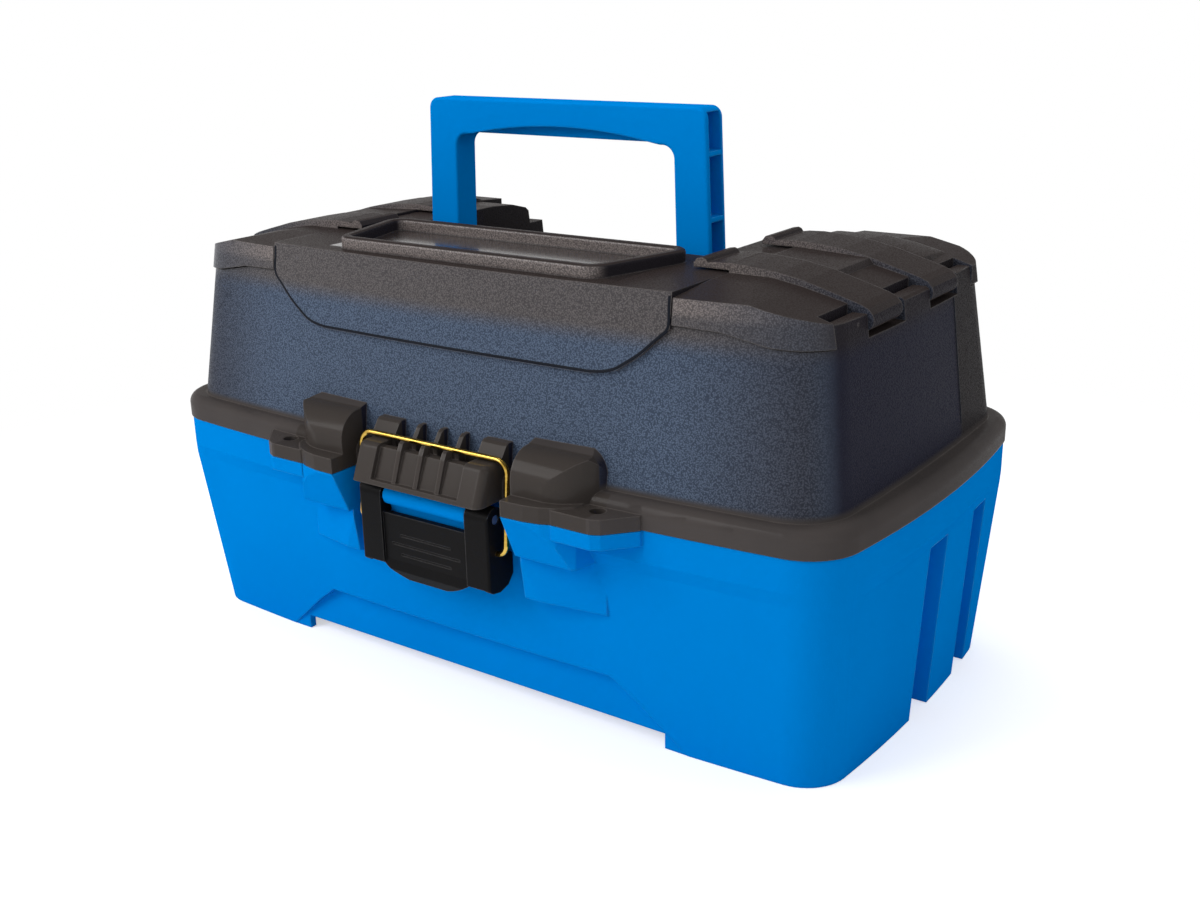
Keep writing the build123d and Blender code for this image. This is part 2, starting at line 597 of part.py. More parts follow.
# Lid side of the shroud and padlock eye, with a domed cover above
with BuildPart() as dome:
    with BuildSketch(Plane.YZ.offset(LATCH_BAY_HALF)):
        with BuildLine():
            base_line = Line((-90.0, 108.0), (-113.2, 108.0))
            front_line = Line(base_line @ 1, (-113.2, 116.0))
            ThreePointArc(front_line @ 1, (-109.6, 125.0), (-100.5, 128.6))
            back_line = Line((-100.5, 128.6), (-90.0, DOME_TOP_Z + 1.0))
            Line(back_line @ 1, base_line @ 0)
        make_face()
    extrude(amount=DOME_END_X - LATCH_BAY_HALF)
    with BuildSketch(Plane.XZ.offset(90.0)):
        with BuildLine():
            floor_line = Line((LATCH_BAY_HALF, 108.0), (DOME_END_X, 108.0))
            end_line = Line(floor_line @ 1, (DOME_END_X, 119.0))
            ThreePointArc(end_line @ 1, (81.0, 127.4), (72.5, 131.4))
            roof_line = Line((72.5, 131.4), (LATCH_BAY_HALF, 132.2))
            Line(roof_line @ 1, floor_line @ 0)
        make_face()
    extrude(amount=40.0, mode=Mode.INTERSECT)
    with BuildSketch(Plane.XY.offset(108.0)):
        with BuildLine():
            left_line = Line((LATCH_BAY_HALF, -90.0), (LATCH_BAY_HALF, -113.2))
            front_edge = Line(left_line @ 1, (58.0, -113.2))
            ThreePointArc(front_edge @ 1, (76.0, -108.0), (DOME_END_X, -95.0))
            right_line = Line((DOME_END_X, -95.0), (DOME_END_X, -90.0))
            Line(right_line @ 1, left_line @ 0)
        make_face()
    extrude(amount=30.0, mode=Mode.INTERSECT)

with BuildPart() as lid_shroud:
    add(dome.part)
    add(plan_prism(shroud_plan, LID_LOW_Z, 110.3))
    add(plan_prism(eye_plan, LID_LOW_Z, EYE_TOP_Z))
    with Locations((EYE_X, EYE_Y, PARTING_Z + 5)):
        Cylinder(EYE_R, 30, mode=Mode.SUBTRACT)

# Ears that hold the door pins, cut to the lid wall, for the right side
ear_side = [
    (EAR_X[0], SILL_OUT_Z - 2.0),
    (EAR_X[0], DOOR_AXIS_Z + 1.6),
    (EAR_X[0] + 1.6, DOOR_AXIS_Z + 2.9),
    (DOOR_AXIS_X + 1.4, DOOR_AXIS_Z + 2.9),
    (DOOR_AXIS_X + 3.2, DOOR_AXIS_Z + 1.6),
    (EAR_X[1], DOOR_AXIS_Z - 2.0),
    (EAR_X[1], SILL_OUT_Z - 2.0),
]
with BuildPart() as door_ears:
    for y_low, y_high in EARS_Y:
        add(front_prism(ear_side, y_high, y_low))
    add(tapered_body(BODY_LOW_Z, BODY_LOW, BODY_TOP_Z, BODY_TOP, BODY_CORNER, BODY_BOW),
        mode=Mode.INTERSECT)

# Lid knuckle reaching back to the hinge axis
lid_knuckle_side = [
    (97.0, LID_LOW_Z + 0.4),
    (HINGE_Y - 5.0, LID_LOW_Z + 0.4),
    (HINGE_Y, HINGE_Z),
    (HINGE_Y + 3.6, HINGE_Z + 3.6),
    (102.0, 112.5),
    (97.0, 112.5),
]

with BuildPart() as lid_shell:
    with BuildSketch(Plane.XY.offset(LID_LOW_Z)):
        bowed_plan(FLANGE_WIDTH, FLANGE_DEPTH, FLANGE_CORNER, FLANGE_BOW)
    extrude(amount=BAND_TOP_Z - LID_LOW_Z)
    fillet(lid_shell.edges().group_by(Axis.Z)[-1], BAND_ROUND)
    add(tapered_body(BODY_LOW_Z, BODY_LOW, BODY_TOP_Z, BODY_TOP, BODY_CORNER, BODY_BOW))
    add(apron.part)
    add(raised_rim.part)
    for shape in both_sides(front_prism(sill_cut, 130.0, -130.0)):
        add(shape, mode=Mode.SUBTRACT)
    add(side_prism(rear_cut, -DOOR_SEAM_X - 1.0, DOOR_SEAM_X + 1.0), mode=Mode.SUBTRACT)
    add(catch.part)
    for shape in both_sides(lid_shroud.part):
        add(shape)
    # handle trough, open to the rear, with a lug pad at each side
    add(block((-TROUGH_HALF, TROUGH_HALF), (TROUGH_FRONT_Y, 120), (TROUGH_FLOOR_Z, 230)),
        mode=Mode.SUBTRACT)
    for shape in both_sides(block((HANDLE_HALF_LOW + 0.8, TROUGH_HALF + 1),
                                  (HANDLE_Y - 8, HANDLE_Y + 8),
                                  (TROUGH_FLOOR_Z - 1, HANDLE_Z + 9))):
        add(shape)
    # hinge knuckles
    for station in HINGE_STATIONS:
        x_range = (station - KNUCKLE_LENGTH / 2, station + KNUCKLE_LENGTH / 2)
        add(side_prism(lid_knuckle_side, *x_range))
        add(x_rod(HINGE_Y, HINGE_Z, HINGE_KNUCKLE_R, *x_range))
    # door ears
    for shape in both_sides(door_ears.part):
        add(shape)
    add(lid_cavity.part, mode=Mode.SUBTRACT)
    # compartments under the doors
    for shape in both_sides(block(POCKET_X, (-POCKET_HALF_Y, POCKET_HALF_Y),
                                  (POCKET_FLOOR_Z, 230))):
        add(shape, mode=Mode.SUBTRACT)
    # posts that carry the upper tray
    for shape in both_sides(x_rod(*LINK_TO_LID, 5.0, *LINK_POST_X)):
        add(shape)
    # pin bores
    for shape in both_sides(x_rod(*LINK_TO_LID, ARM_PIN_R + RUNNING_FIT, LINK_POST_X[0] - 1.0,
                                  LINK_POST_X[1] - 0.6)):
        add(shape, mode=Mode.SUBTRACT)
    for station in HINGE_STATIONS:
        add(x_rod(HINGE_Y, HINGE_Z, HINGE_PIN_R + RUNNING_FIT, station - 8, station + 8),
            mode=Mode.SUBTRACT)
    for shape in both_sides(x_rod(HANDLE_Y, HANDLE_Z, HANDLE_PIN_R, 78.0, TROUGH_HALF + 1.5)):
        add(shape, mode=Mode.SUBTRACT)
    for pin_low, pin_high in DOOR_PINS_Y:
        for shape in both_sides(y_rod(DOOR_AXIS_X, DOOR_AXIS_Z, DOOR_PIN_R, pin_high, pin_low)):
            add(shape, mode=Mode.SUBTRACT)
save(lid_shell, "lid_shell")

# Pins held by the lid
with BuildPart() as door_hinge_pins:
    for pin_low, pin_high in DOOR_PINS_Y:
        for shape in both_sides(y_rod(DOOR_AXIS_X, DOOR_AXIS_Z, DOOR_PIN_R, pin_high, pin_low)):
            add(shape)
save(door_hinge_pins, "door_hinge_pins")

with BuildPart() as handle_pivot_pins:
    for shape in both_sides(x_rod(HANDLE_Y, HANDLE_Z, HANDLE_PIN_R, 66.0, TROUGH_HALF + 1.5)):
        add(shape)
save(handle_pivot_pins, "handle_pivot_pins")

# Top door, right side: crowned cap cut to the lid outline, hollow below
seam_x = DOOR_SEAM_X + DOOR_GAP
cap_bottom = [(seam_x, SILL_IN_Z + DOOR_GAP)] + [(x, z + DOOR_GAP) for x, z in SILL_BENDS]
cap_bottom = cap_bottom + [(SILL_OUT_X, SILL_OUT_Z + DOOR_GAP)]
cap_profile = cap_bottom + CAP_CURVE[::-1]
crown_side = [(-95.0, 170.0)] + CAP_CROWN + [(CAP_CROWN[-1][0], 170.0)]


def is_outer_corner(edge):
    """True for the upright edges at the outer end of the door cap."""
    start = edge @ 0
    end = edge @ 1
    upright = abs(start.Z - end.Z) > 4.0
    return upright and min(start.X, end.X) > CAP_END_X


with BuildPart() as door_cap:
    add(front_prism(cap_profile, DOOR_REAR_Y, -100.0))
    add(side_prism(crown_side, 100.0, 180.0), mode=Mode.INTERSECT)
    add(tapered_body(BODY_LOW_Z, BODY_LOW, BODY_TOP_Z, BODY_TOP, BODY_CORNER + 2, BODY_BOW,
                     -APRON_PROUD), mode=Mode.INTERSECT)
    corners = door_cap.edges().filter_by(is_outer_corner)
    fillet(corners, 7.0)

# the hollow keeps an even skin below the cap's curve and its crown
hollow_x = (seam_x + DOOR_SKIN, CAP_END_X - DOOR_SKIN)
hollow_curve = [(x, z - DOOR_SKIN) for x, z in CAP_CURVE if hollow_x[0] < x < hollow_x[1]]
hollow_profile = [(hollow_x[0], 170.0), (hollow_x[0], CAP_CURVE[0][1] - DOOR_SKIN)]
hollow_profile = hollow_profile + hollow_curve
hollow_profile = hollow_profile + [(hollow_x[1], 187.3), (hollow_x[1], 170.0)]
hollow_crown = [(y, z - DOOR_SKIN) for y, z in CAP_CROWN]
hollow_side = [(-95.0, 165.0)] + hollow_crown + [(CAP_CROWN[-1][0], 165.0)]
with BuildPart() as door_hollow:
    add(front_prism(hollow_profile, DOOR_REAR_Y - DOOR_SKIN, -100.0))
    add(side_prism(hollow_side, 100.0, 180.0), mode=Mode.INTERSECT)
    add(tapered_body(BODY_LOW_Z, BODY_LOW, BODY_TOP_Z, BODY_TOP, BODY_CORNER, BODY_BOW,
                     DOOR_SKIN - APRON_PROUD), mode=Mode.INTERSECT)

with BuildPart() as right_access_door:
    add(door_cap.part)
    add(door_hollow.part, mode=Mode.SUBTRACT)
    # the cap is cut back round the ears
    add(block((CAP_END_X, 200), (EARS_Y[0][0] - 1.0, EARS_Y[2][1] + 1.0), (170, 200)),
        mode=Mode.SUBTRACT)
    # straps over the cap, ending in a knuckle outside and a finger bar inside
    strap_profile = STRAP_CURVE + [
        (DOOR_AXIS_X + STRAP_KNUCKLE_R, DOOR_AXIS_Z),
        (DOOR_AXIS_X - STRAP_KNUCKLE_R, DOOR_AXIS_Z),
        (CAP_END_X - 0.5, DOOR_AXIS_Z + 1.4),
        (CAP_END_X - 0.5, 187.0),
        (150.0, 189.5),
        (seam_x, 194.6),
    ]
    pull_profile = [
        (seam_x + 1.0, 197.0),
        (seam_x + 1.0, 200.0),
        (PULL_X[1] + 3.0, 199.7),
        (PULL_X[1], 199.2),
        (PULL_X[1] - 1.0, PULL_TOP_Z - 0.5),
        (PULL_X[1] - 2.4, PULL_TOP_Z),
        (PULL_X[0] + 1.6, PULL_TOP_Z - 0.4),
        (PULL_X[0], 198.6),
        (PULL_X[0], 197.0),
    ]
    for y_low, y_high in STRAPS_Y:
        add(front_prism(strap_profile, y_high, y_low))
        add(y_rod(DOOR_AXIS_X, DOOR_AXIS_Z, STRAP_KNUCKLE_R, y_high, y_low))
        add(front_prism(pull_profile, y_high, y_low))
    # raised panel with a step down, between the straps
    panel_profile = [
        (seam_x, 195.4),
        (seam_x, 197.3),
        (143.6, 195.6),
        (145.6, 193.2),
        (145.6, 191.6),
        (131.0, 194.0),
    ]
    add(front_prism(panel_profile, STRAPS_Y[1][0] + 0.2, STRAPS_Y[0][1] - 0.2))
    for pin_low, pin_high in DOOR_PINS_Y:
        add(y_rod(DOOR_AXIS_X, DOOR_AXIS_Z, DOOR_PIN_R + RUNNING_FIT, pin_high, pin_low),
            mode=Mode.SUBTRACT)
save(right_access_door, "right_access_door")

with BuildPart() as left_access_door:
    add(mirror(right_access_door.part, about=Plane.YZ))
save(left_access_door, "left_access_door")

# Carry handle
handle_front_y = HANDLE_Y - HANDLE_THICK / 2
with BuildPart() as carry_handle:
    with BuildSketch(Plane.XZ.offset(-handle_front_y)):
        with BuildLine():
            Polyline([
                (-HANDLE_HALF_LOW, HANDLE_Z),
                (-HANDLE_HALF_TOP, HANDLE_TOP_Z),
                (HANDLE_HALF_TOP, HANDLE_TOP_Z),
                (HANDLE_HALF_LOW, HANDLE_Z),
            ], close=True)
        make_face()
        fillet(vertices().group_by(Axis.Y)[-1], 5.0)
        with BuildLine():
            Polyline([
                (-OPENING_HALF_LOW, HANDLE_Z),
                (-OPENING_HALF_TOP, GRIP_UNDER_Z),
                (OPENING_HALF_TOP, GRIP_UNDER_Z),
                (OPENING_HALF_LOW, HANDLE_Z),
            ], close=True)
        make_face(mode=Mode.SUBTRACT)
    extrude(amount=-HANDLE_THICK)
    inner_corners = carry_handle.edges().filter_by(Axis.Y).filter_by_position(
        Axis.Z, GRIP_UNDER_Z - 1, GRIP_UNDER_Z + 1)
    fillet(inner_corners, 6.0)
    rounded = carry_handle.faces().sort_by(Axis.Y)[0].edges()
    rounded = rounded + carry_handle.faces().sort_by(Axis.Y)[-1].edges()
    fillet(rounded.filter_by_position(Axis.Z, HANDLE_Z + 1, HANDLE_TOP_Z + 1), 1.2)
    for side in (-1, 1):
        x_range = sorted((side * OPENING_HALF_LOW, side * HANDLE_HALF_LOW))
        add(x_rod(HANDLE_Y, HANDLE_Z, HANDLE_THICK / 2, *x_range))
    # finger relief arched up from the front lower edge
    with BuildSketch(Plane.XZ.offset(-handle_front_y)):
        with BuildLine():
            relief = ThreePointArc((-54.0, GRIP_UNDER_Z), (0, GRIP_ARCH_Z), (54.0, GRIP_UNDER_Z))
            Polyline([relief @ 1, (54.0, GRIP_UNDER_Z - 2), (-54.0, GRIP_UNDER_Z - 2), relief @ 0])
        make_face()
    extrude(amount=-9.0, mode=Mode.SUBTRACT)
    # open pockets on the outer ends, split by cross ribs
    levels = [HANDLE_TOP_Z - HANDLE_WALL] + HANDLE_RIB_Z + [HANDLE_Z + 10.0]
    for index in range(len(levels) - 1):
        high = levels[index] - (HANDLE_WALL / 2 if index > 0 else 0)
        low = levels[index + 1] + HANDLE_WALL / 2
        for side in (-1, 1):
            x_range = sorted((side * (OPENING_HALF_LOW + HANDLE_WALL), side * 90.0))
            add(block(x_range, (handle_front_y + HANDLE_WALL, handle_front_y + HANDLE_THICK
                                - HANDLE_WALL), (low, high)), mode=Mode.SUBTRACT)
    for shape in both_sides(x_rod(HANDLE_Y, HANDLE_Z, HANDLE_PIN_R + RUNNING_FIT, 65.0, 90.0)):
        add(shape, mode=Mode.SUBTRACT)
save(carry_handle, "carry_handle")

# Latch lever: two arms over a front plate with side plates and a pull lip
front_face = LEVER_Y - LEVER_KNUCKLE_R
plate_back = front_face + LEVER_PLATE + LEVER_RECESS
side_plate = [
    (front_face, LEVER_LOW_Z),
    (front_face, LEVER_Z),
    (LEVER_Y + LEVER_KNUCKLE_R, LEVER_Z),
    (LEVER_Y + LEVER_KNUCKLE_R - 0.6, 86.5),
    (LEVER_Y + LEVER_KNUCKLE_R + 1.0, 80.0),
    (SIDE_PLATE_REAR_Y, 78.0),
    (SIDE_PLATE_REAR_Y, 68.5),
    (SIDE_PLATE_REAR_Y - 3.4, 64.2),
    (LEVER_Y + 1.5, 62.6),
    (front_face + 2.0, 63.4),
]
lip_side = [
    (front_face + LEVER_RECESS, LEVER_LOW_Z + 2.0),
    (front_face + 0.4, 62.5),
    (LEVER_Y - 3.6, 58.6),
    (LEVER_Y + 0.6, 57.6),
    (LEVER_Y + 0.6, 59.8),
    (LEVER_Y - 1.8, 60.8),
    (plate_back, 63.4),
    (plate_back, LEVER_LOW_Z + 2.0),
]
with BuildPart() as pull_lip:
    add(side_prism(lip_side, -26.0, 26.0))
    with BuildSketch(Plane.XZ.offset(95.0)):
        with BuildLine():
            lip_top = Line((-25.0, 68.0), (25.0, 68.0))
            Line(lip_top @ 1, (24.5, 64.6))
            ThreePointArc((24.5, 64.6), (0.0, 57.2), (-24.5, 64.6))
            Line((-24.5, 64.6), lip_top @ 0)
        make_face()
    extrude(amount=30.0, mode=Mode.INTERSECT)

with BuildPart() as latch_lever:
    # recessed panel between two columns
    add(block((-ARM_INNER - 1, ARM_INNER + 1), (front_face + LEVER_RECESS, plate_back),
              (LEVER_LOW_Z, LEVER_PANEL_TOP_Z)))
    for shape in both_sides(block((ARM_INNER, LEVER_HALF), (front_face, plate_back),
                                  (LEVER_LOW_Z, LEVER_Z))):
        add(shape)
    for shape in both_sides(x_rod(LEVER_Y, LEVER_Z, LEVER_KNUCKLE_R, ARM_INNER, LEVER_HALF)):
        add(shape)
    for shape in both_sides(side_prism(side_plate, LEVER_HALF - LEVER_PLATE, LEVER_HALF)):
        add(shape)
    for shape in both_sides(side_prism(
            [(front_face, LEVER_LOW_Z), (front_face, LEVER_Z), (LEVER_Y + 2.0, LEVER_Z - 2.0),
             (LEVER_Y - 0.6, LEVER_LOW_Z)], ARM_INNER, ARM_INNER + 2.2)):
        add(shape)
    with BuildSketch(Plane.XY.offset(55.0)):
        with Locations((0, front_face + 15.0)):
            Rectangle(2 * LEVER_HALF, 30.0)
        fillet(vertices().group_by(Axis.Y)[0], 1.2)
    extrude(amount=50.0, mode=Mode.INTERSECT)
    add(pull_lip.part)
    # three grip grooves across the panel
    panel_face_y = front_face + LEVER_RECESS
    for z, half in ((79.3, 14.2), (74.8, 19.4), (70.2, 14.2)):
        add(block((-half, half), (panel_face_y - 1, panel_face_y + 0.5), (z - 0.45, z + 0.45)),
            mode=Mode.SUBTRACT)
    # bores for the pivot pin and the bail feet
    for shape in both_sides(x_rod(LEVER_Y, LEVER_Z, LEVER_PIN_R + RUNNING_FIT, 20, 40)):
        add(shape, mode=Mode.SUBTRACT)
    for shape in both_sides(x_rod(BAIL_FOOT_Y, BAIL_FOOT_Z, BAIL_R + RUNNING_FIT, 30, 40)):
        add(shape, mode=Mode.SUBTRACT)
save(latch_lever, "latch_lever")

# Wire bail: feet in the lever, legs beside the catch, bar across the top
lean = (BAIL_TOP_Y - BAIL_FOOT_Y) / (BAIL_TOP_Z - BAIL_FOOT_Z)
bail_plane = Plane(origin=(0, BAIL_FOOT_Y, BAIL_FOOT_Z), x_dir=(1, 0, 0), z_dir=(0, -1, lean))
bail_height = math.hypot(BAIL_TOP_Y - BAIL_FOOT_Y, BAIL_TOP_Z - BAIL_FOOT_Z)
foot_tip = LEVER_HALF - LEVER_PLATE + 0.4
with BuildPart() as latch_bail:
    with BuildLine(bail_plane) as bail_path:
        FilletPolyline([
            (foot_tip, 0),
            (BAIL_HALF, 0),
            (BAIL_HALF, bail_height),
            (-BAIL_HALF, bail_height),
            (-BAIL_HALF, 0),
            (-foot_tip, 0),
        ], radius=[BAIL_BEND[0], BAIL_BEND[1], BAIL_BEND[1], BAIL_BEND[0]])
    with BuildSketch(Plane(origin=bail_path.line @ 0, z_dir=bail_path.line % 0)):
        Circle(BAIL_R)
    sweep(path=bail_path.line)
save(latch_bail, "latch_bail")


def tray(z_range, ear_points):
    """Open tray with rounded corners and a pin boss for each (y, z) point."""
    centre_y = (TRAY_FRONT_Y + TRAY_REAR_Y) / 2
    depth = TRAY_REAR_Y - TRAY_FRONT_Y
    with BuildPart(mode=Mode.PRIVATE) as body:
        with BuildSketch(Plane.XY.offset(z_range[0])):
            with Locations((0, centre_y)):
                RectangleRounded(2 * TRAY_HALF, depth, TRAY_CORNER)
        extrude(amount=z_range[1] - z_range[0])
        with BuildSketch(Plane.XY.offset(z_range[0] + TRAY_WALL)):
            with Locations((0, centre_y)):
                RectangleRounded(2 * (TRAY_HALF - TRAY_WALL), depth - 2 * TRAY_WALL,
                                 TRAY_CORNER - TRAY_WALL)
        extrude(amount=z_range[1] - z_range[0], mode=Mode.SUBTRACT)
        for y, z in ear_points:
            for shape in both_sides(x_rod(y, z, 4.0, TRAY_HALF - 5.0, TRAY_HALF - 0.5)):
                add(shape)
            for shape in both_sides(x_rod(y, z, ARM_PIN_R, TRAY_HALF - 4.0, TRAY_HALF + 1.0)):
                add(shape, mode=Mode.SUBTRACT)
    return body


def dividers(x_list, z_range):
    """Loose cross plates that drop into a tray."""
    with BuildPart(mode=Mode.PRIVATE) as plates:
        for x in x_list:
            add(block((x - DIVIDER_THICK / 2, x + DIVIDER_THICK / 2),
                      (TRAY_FRONT_Y + TRAY_WALL, TRAY_REAR_Y - TRAY_WALL),
                      (z_range[0] + TRAY_WALL, z_range[1] - 2.0)))
    return plates


upper_tray = tray(UPPER_TRAY_Z, [UPPER_ARM_PIN, LINK_TO_LID])
save(upper_tray, "upper_tray")
lower_tray = tray(LOWER_TRAY_Z, [LOWER_ARM_PIN, REAR_ARM_PIN])
save(lower_tray, "lower_tray")
upper_tray_dividers = dividers(UPPER_DIVIDERS_X, UPPER_TRAY_Z)
save(upper_tray_dividers, "upper_tray_dividers")
lower_tray_dividers = dividers(LOWER_DIVIDERS_X, LOWER_TRAY_Z)
save(lower_tray_dividers, "lower_tray_dividers")

# Rivets held by the trays
with BuildPart() as upper_tray_rivets:
    for shape in both_sides(x_rod(*UPPER_ARM_PIN, ARM_PIN_R, TRAY_HALF - 4.0, FRONT_ARM_X[1] + 0.3)):
        add(shape)
    for shape in both_sides(x_rod(*UPPER_ARM_PIN, RIVET_HEAD_R, FRONT_ARM_X[1] + 0.3,
                                  FRONT_ARM_X[1] + 1.3)):
        add(shape)
    for shape in both_sides(x_rod(*LINK_TO_LID, ARM_PIN_R, TRAY_HALF - 4.0, LINK_POST_X[1] - 1.0)):
        add(shape)
save(upper_tray_rivets, "upper_tray_rivets")

with BuildPart() as lower_tray_rivets:
    for pin, plane in ((LOWER_ARM_PIN, FRONT_ARM_X), (REAR_ARM_PIN, REAR_ARM_X)):
        for shape in both_sides(x_rod(*pin, ARM_PIN_R, TRAY_HALF - 4.0, plane[1] + 0.3)):
            add(shape)
        for shape in both_sides(x_rod(*pin, RIVET_HEAD_R, plane[1] + 0.3, plane[1] + 1.2)):
            add(shape)
save(lower_tray_rivets, "lower_tray_rivets")


def arm(start, end, plane, bores):
    """Flat bar with rounded ends between two (y, z) points, drilled at the bores."""
    length = math.hypot(end[0] - start[0], end[1] - start[1])
    angle = math.degrees(math.atan2(end[1] - start[1], end[0] - start[0]))
    middle = ((start[0] + end[0]) / 2, (start[1] + end[1]) / 2)
    with BuildPart(mode=Mode.PRIVATE) as bar:
        with BuildSketch(Plane.YZ.offset(plane[0])):
            with Locations(middle):
                SlotCenterToCenter(length, 2 * ARM_HALF_WIDTH, rotation=angle)
            with Locations(*bores):
                Circle(ARM_PIN_R + RUNNING_FIT, mode=Mode.SUBTRACT)
        extrude(amount=plane[1] - plane[0])
    return bar


# Arms, right side first and then mirrored
front_arm_right = arm(FRONT_ARM_BASE, UPPER_ARM_PIN, FRONT_ARM_X,
                      [FRONT_ARM_BASE, LOWER_ARM_PIN, UPPER_ARM_PIN])
save(front_arm_right, "front_arm_right")
rear_arm_right = arm(REAR_ARM_BASE, REAR_ARM_PIN, REAR_ARM_X, [REAR_ARM_BASE, REAR_ARM_PIN])
save(rear_arm_right, "rear_arm_right")
with BuildPart() as front_arm_left:
    add(mirror(front_arm_right.part, about=Plane.YZ))
save(front_arm_left, "front_arm_left")
with BuildPart() as rear_arm_left:
    add(mirror(rear_arm_right.part, about=Plane.YZ))
save(rear_arm_left, "rear_arm_left")
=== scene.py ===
# %% [markdown]
# # Dressing a tackle box
# The solids of the box come from its construction file, each already in its real place, in metres. This
# lesson gives them the look of moulded plastic, wire and steel, adds the fine trim that a mould leaves and
# thin dark lines of painted shadow, and lights them as in a product photograph. Some light and shade is
# also painted into the colours. Nothing here changes a size.

import bpy
import bmesh
import math
from mathutils import Matrix, Vector
from mathutils.bvhtree import BVHTree


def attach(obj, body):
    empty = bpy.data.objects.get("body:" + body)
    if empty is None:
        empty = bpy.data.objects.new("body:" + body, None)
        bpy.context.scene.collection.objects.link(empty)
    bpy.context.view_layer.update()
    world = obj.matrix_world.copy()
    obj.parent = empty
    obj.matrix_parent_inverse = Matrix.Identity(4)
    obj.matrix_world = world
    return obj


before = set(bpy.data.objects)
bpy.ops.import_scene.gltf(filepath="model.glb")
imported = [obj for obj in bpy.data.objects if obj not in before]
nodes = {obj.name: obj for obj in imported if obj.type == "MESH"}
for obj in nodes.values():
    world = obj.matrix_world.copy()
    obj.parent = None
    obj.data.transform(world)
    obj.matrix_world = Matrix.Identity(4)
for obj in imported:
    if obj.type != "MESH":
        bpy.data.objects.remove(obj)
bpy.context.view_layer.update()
MM = 0.001
print("nodes:", len(nodes))

# %% [markdown]
# ## The camera
# The photograph was taken from the right and a little above, with a short telephoto lens. The place, the
# turn and the lens below come from matching the straight edges of the case. Azimuth turns about the
# vertical, elevation tips down, and roll is the photographer's small tilt. The tiny shift is the
# photograph's own framing.

# %% Camera at the photograph's viewing angle
CAMERA_PLACE = (0.38476, -0.52553, 0.30828)
AZIMUTH, ELEVATION, ROLL = 36.014, 18.587, -1.296
LENS_MM, SENSOR_MM = 41.817, 36.0
SHIFT_X, SHIFT_Y = 0.01366, -0.00116

camera_data = bpy.data.cameras.new("photo_camera")
camera_data.lens = LENS_MM
camera_data.sensor_width = SENSOR_MM
camera_data.sensor_fit = "HORIZONTAL"
camera_data.shift_x = SHIFT_X
camera_data.shift_y = SHIFT_Y
camera_data.clip_start = 0.01
camera = bpy.data.objects.new("photo_camera", camera_data)
bpy.context.scene.collection.objects.link(camera)
turn = (Matrix.Rotation(math.radians(AZIMUTH), 4, "Z")
        @ Matrix.Rotation(math.radians(90 - ELEVATION), 4, "X")
        @ Matrix.Rotation(math.radians(ROLL), 4, "Z"))
camera.matrix_world = Matrix.Translation(CAMERA_PLACE) @ turn
bpy.context.scene.camera = camera
print("camera at", CAMERA_PLACE)

# %% [markdown]
# ## A small kit for node trees
# Every light and finish below is a tree of nodes. A helper that makes a node, feeds it and hands back its
# output lets a tree read like a sum, and keeps each step from one value to the next in sight. More helpers
# join these where they are first needed.

# %% Node helpers


def add_node(tree, kind, **values):
    """A new node in a tree, with its plain properties set by name."""
    node = tree.nodes.new(kind)
    for name, value in values.items():
        setattr(node, name, value)
    return node


def feed(tree, socket, value):
    """Link a socket to the output given, or set it to the number or colour given."""
    if isinstance(value, bpy.types.NodeSocket):
        tree.links.new(value, socket)
    else:
        socket.default_value = value


def maths(tree, operation, *values):
    """A Math node fed with outputs and numbers."""
    node = add_node(tree, "ShaderNodeMath", operation=operation)
    for socket, value in zip(node.inputs, values):
        feed(tree, socket, value)
    return node.outputs[0]


def largest(tree, *values):
    """The largest of some masks."""
    result = values[0]
    for value in values[1:]:
        result = maths(tree, "MAXIMUM", result, value)
    return result


def stretched(tree, value, low, high, to_low=0.0, to_high=1.0):
    """Map a value so that low gives to_low and high gives to_high, with soft ends."""
    ramp = add_node(tree, "ShaderNodeMapRange", interpolation_type="SMOOTHSTEP")
    for name, number in (("Value", value), ("From Min", low), ("From Max", high),
                         ("To Min", to_low), ("To Max", to_high)):
        feed(tree, ramp.inputs[name], number)
    return ramp.outputs["Result"]


def blended(tree, factor, first, second):
    """Two shaders mixed by a mask."""
    mix = add_node(tree, "ShaderNodeMixShader")
    for socket, value in zip(mix.inputs, (factor, first, second)):
        tree.links.new(value, socket)
    return mix.outputs[0]


print("helpers ready, from add_node() to blended()")

# %% [markdown]
# ## Floor, sky and lamps
# A product photograph like this has a white sweep and large soft lamps. Towards the camera the sky is plain
# white, and reflections see a white sweep that ends under a dim ceiling. Light Path tells both apart from
# the softer light that falls on the case. The floor keeps a shadow close to the case and fades to plain
# white farther out, so that no horizon shows. Three area lamps follow: a big one at the front left, a weak
# one on the right and one above.

# %% Sky and lamps
SKY_TINT, SKY_LIGHT = (0.92, 0.96, 1.0, 1), 0.52
WHITE = (1, 1, 1, 1)
# how steeply a reflected ray rises: white up to SWEEP_TO, dim from CEILING_FROM
SWEEP_TO, CEILING_FROM, CEILING_LIGHT = 0.28, 0.58, 0.16
CASE_MIDDLE = (0, 0, 0.11)
LAMPS = {
    # name: (place, size in metres, power in watts)
    "front_left_softbox": ((-0.75, -1.15, 0.95), 0.9, 12.0),
    "right_softbox": ((1.25, -0.35, 0.75), 0.8, 1.0),
    "top_softbox": ((-0.1, 0.30, 1.35), 0.8, 4.0),
}


def sweep_height(tree):
    """1 where a ray leaves level or downwards, and dim where it points above the paper sweep."""
    way = add_node(tree, "ShaderNodeTexCoord")
    split = add_node(tree, "ShaderNodeSeparateXYZ")
    tree.links.new(way.outputs["Generated"], split.inputs[0])
    return stretched(tree, split.outputs["Z"], CEILING_FROM, SWEEP_TO, CEILING_LIGHT, 1.0)


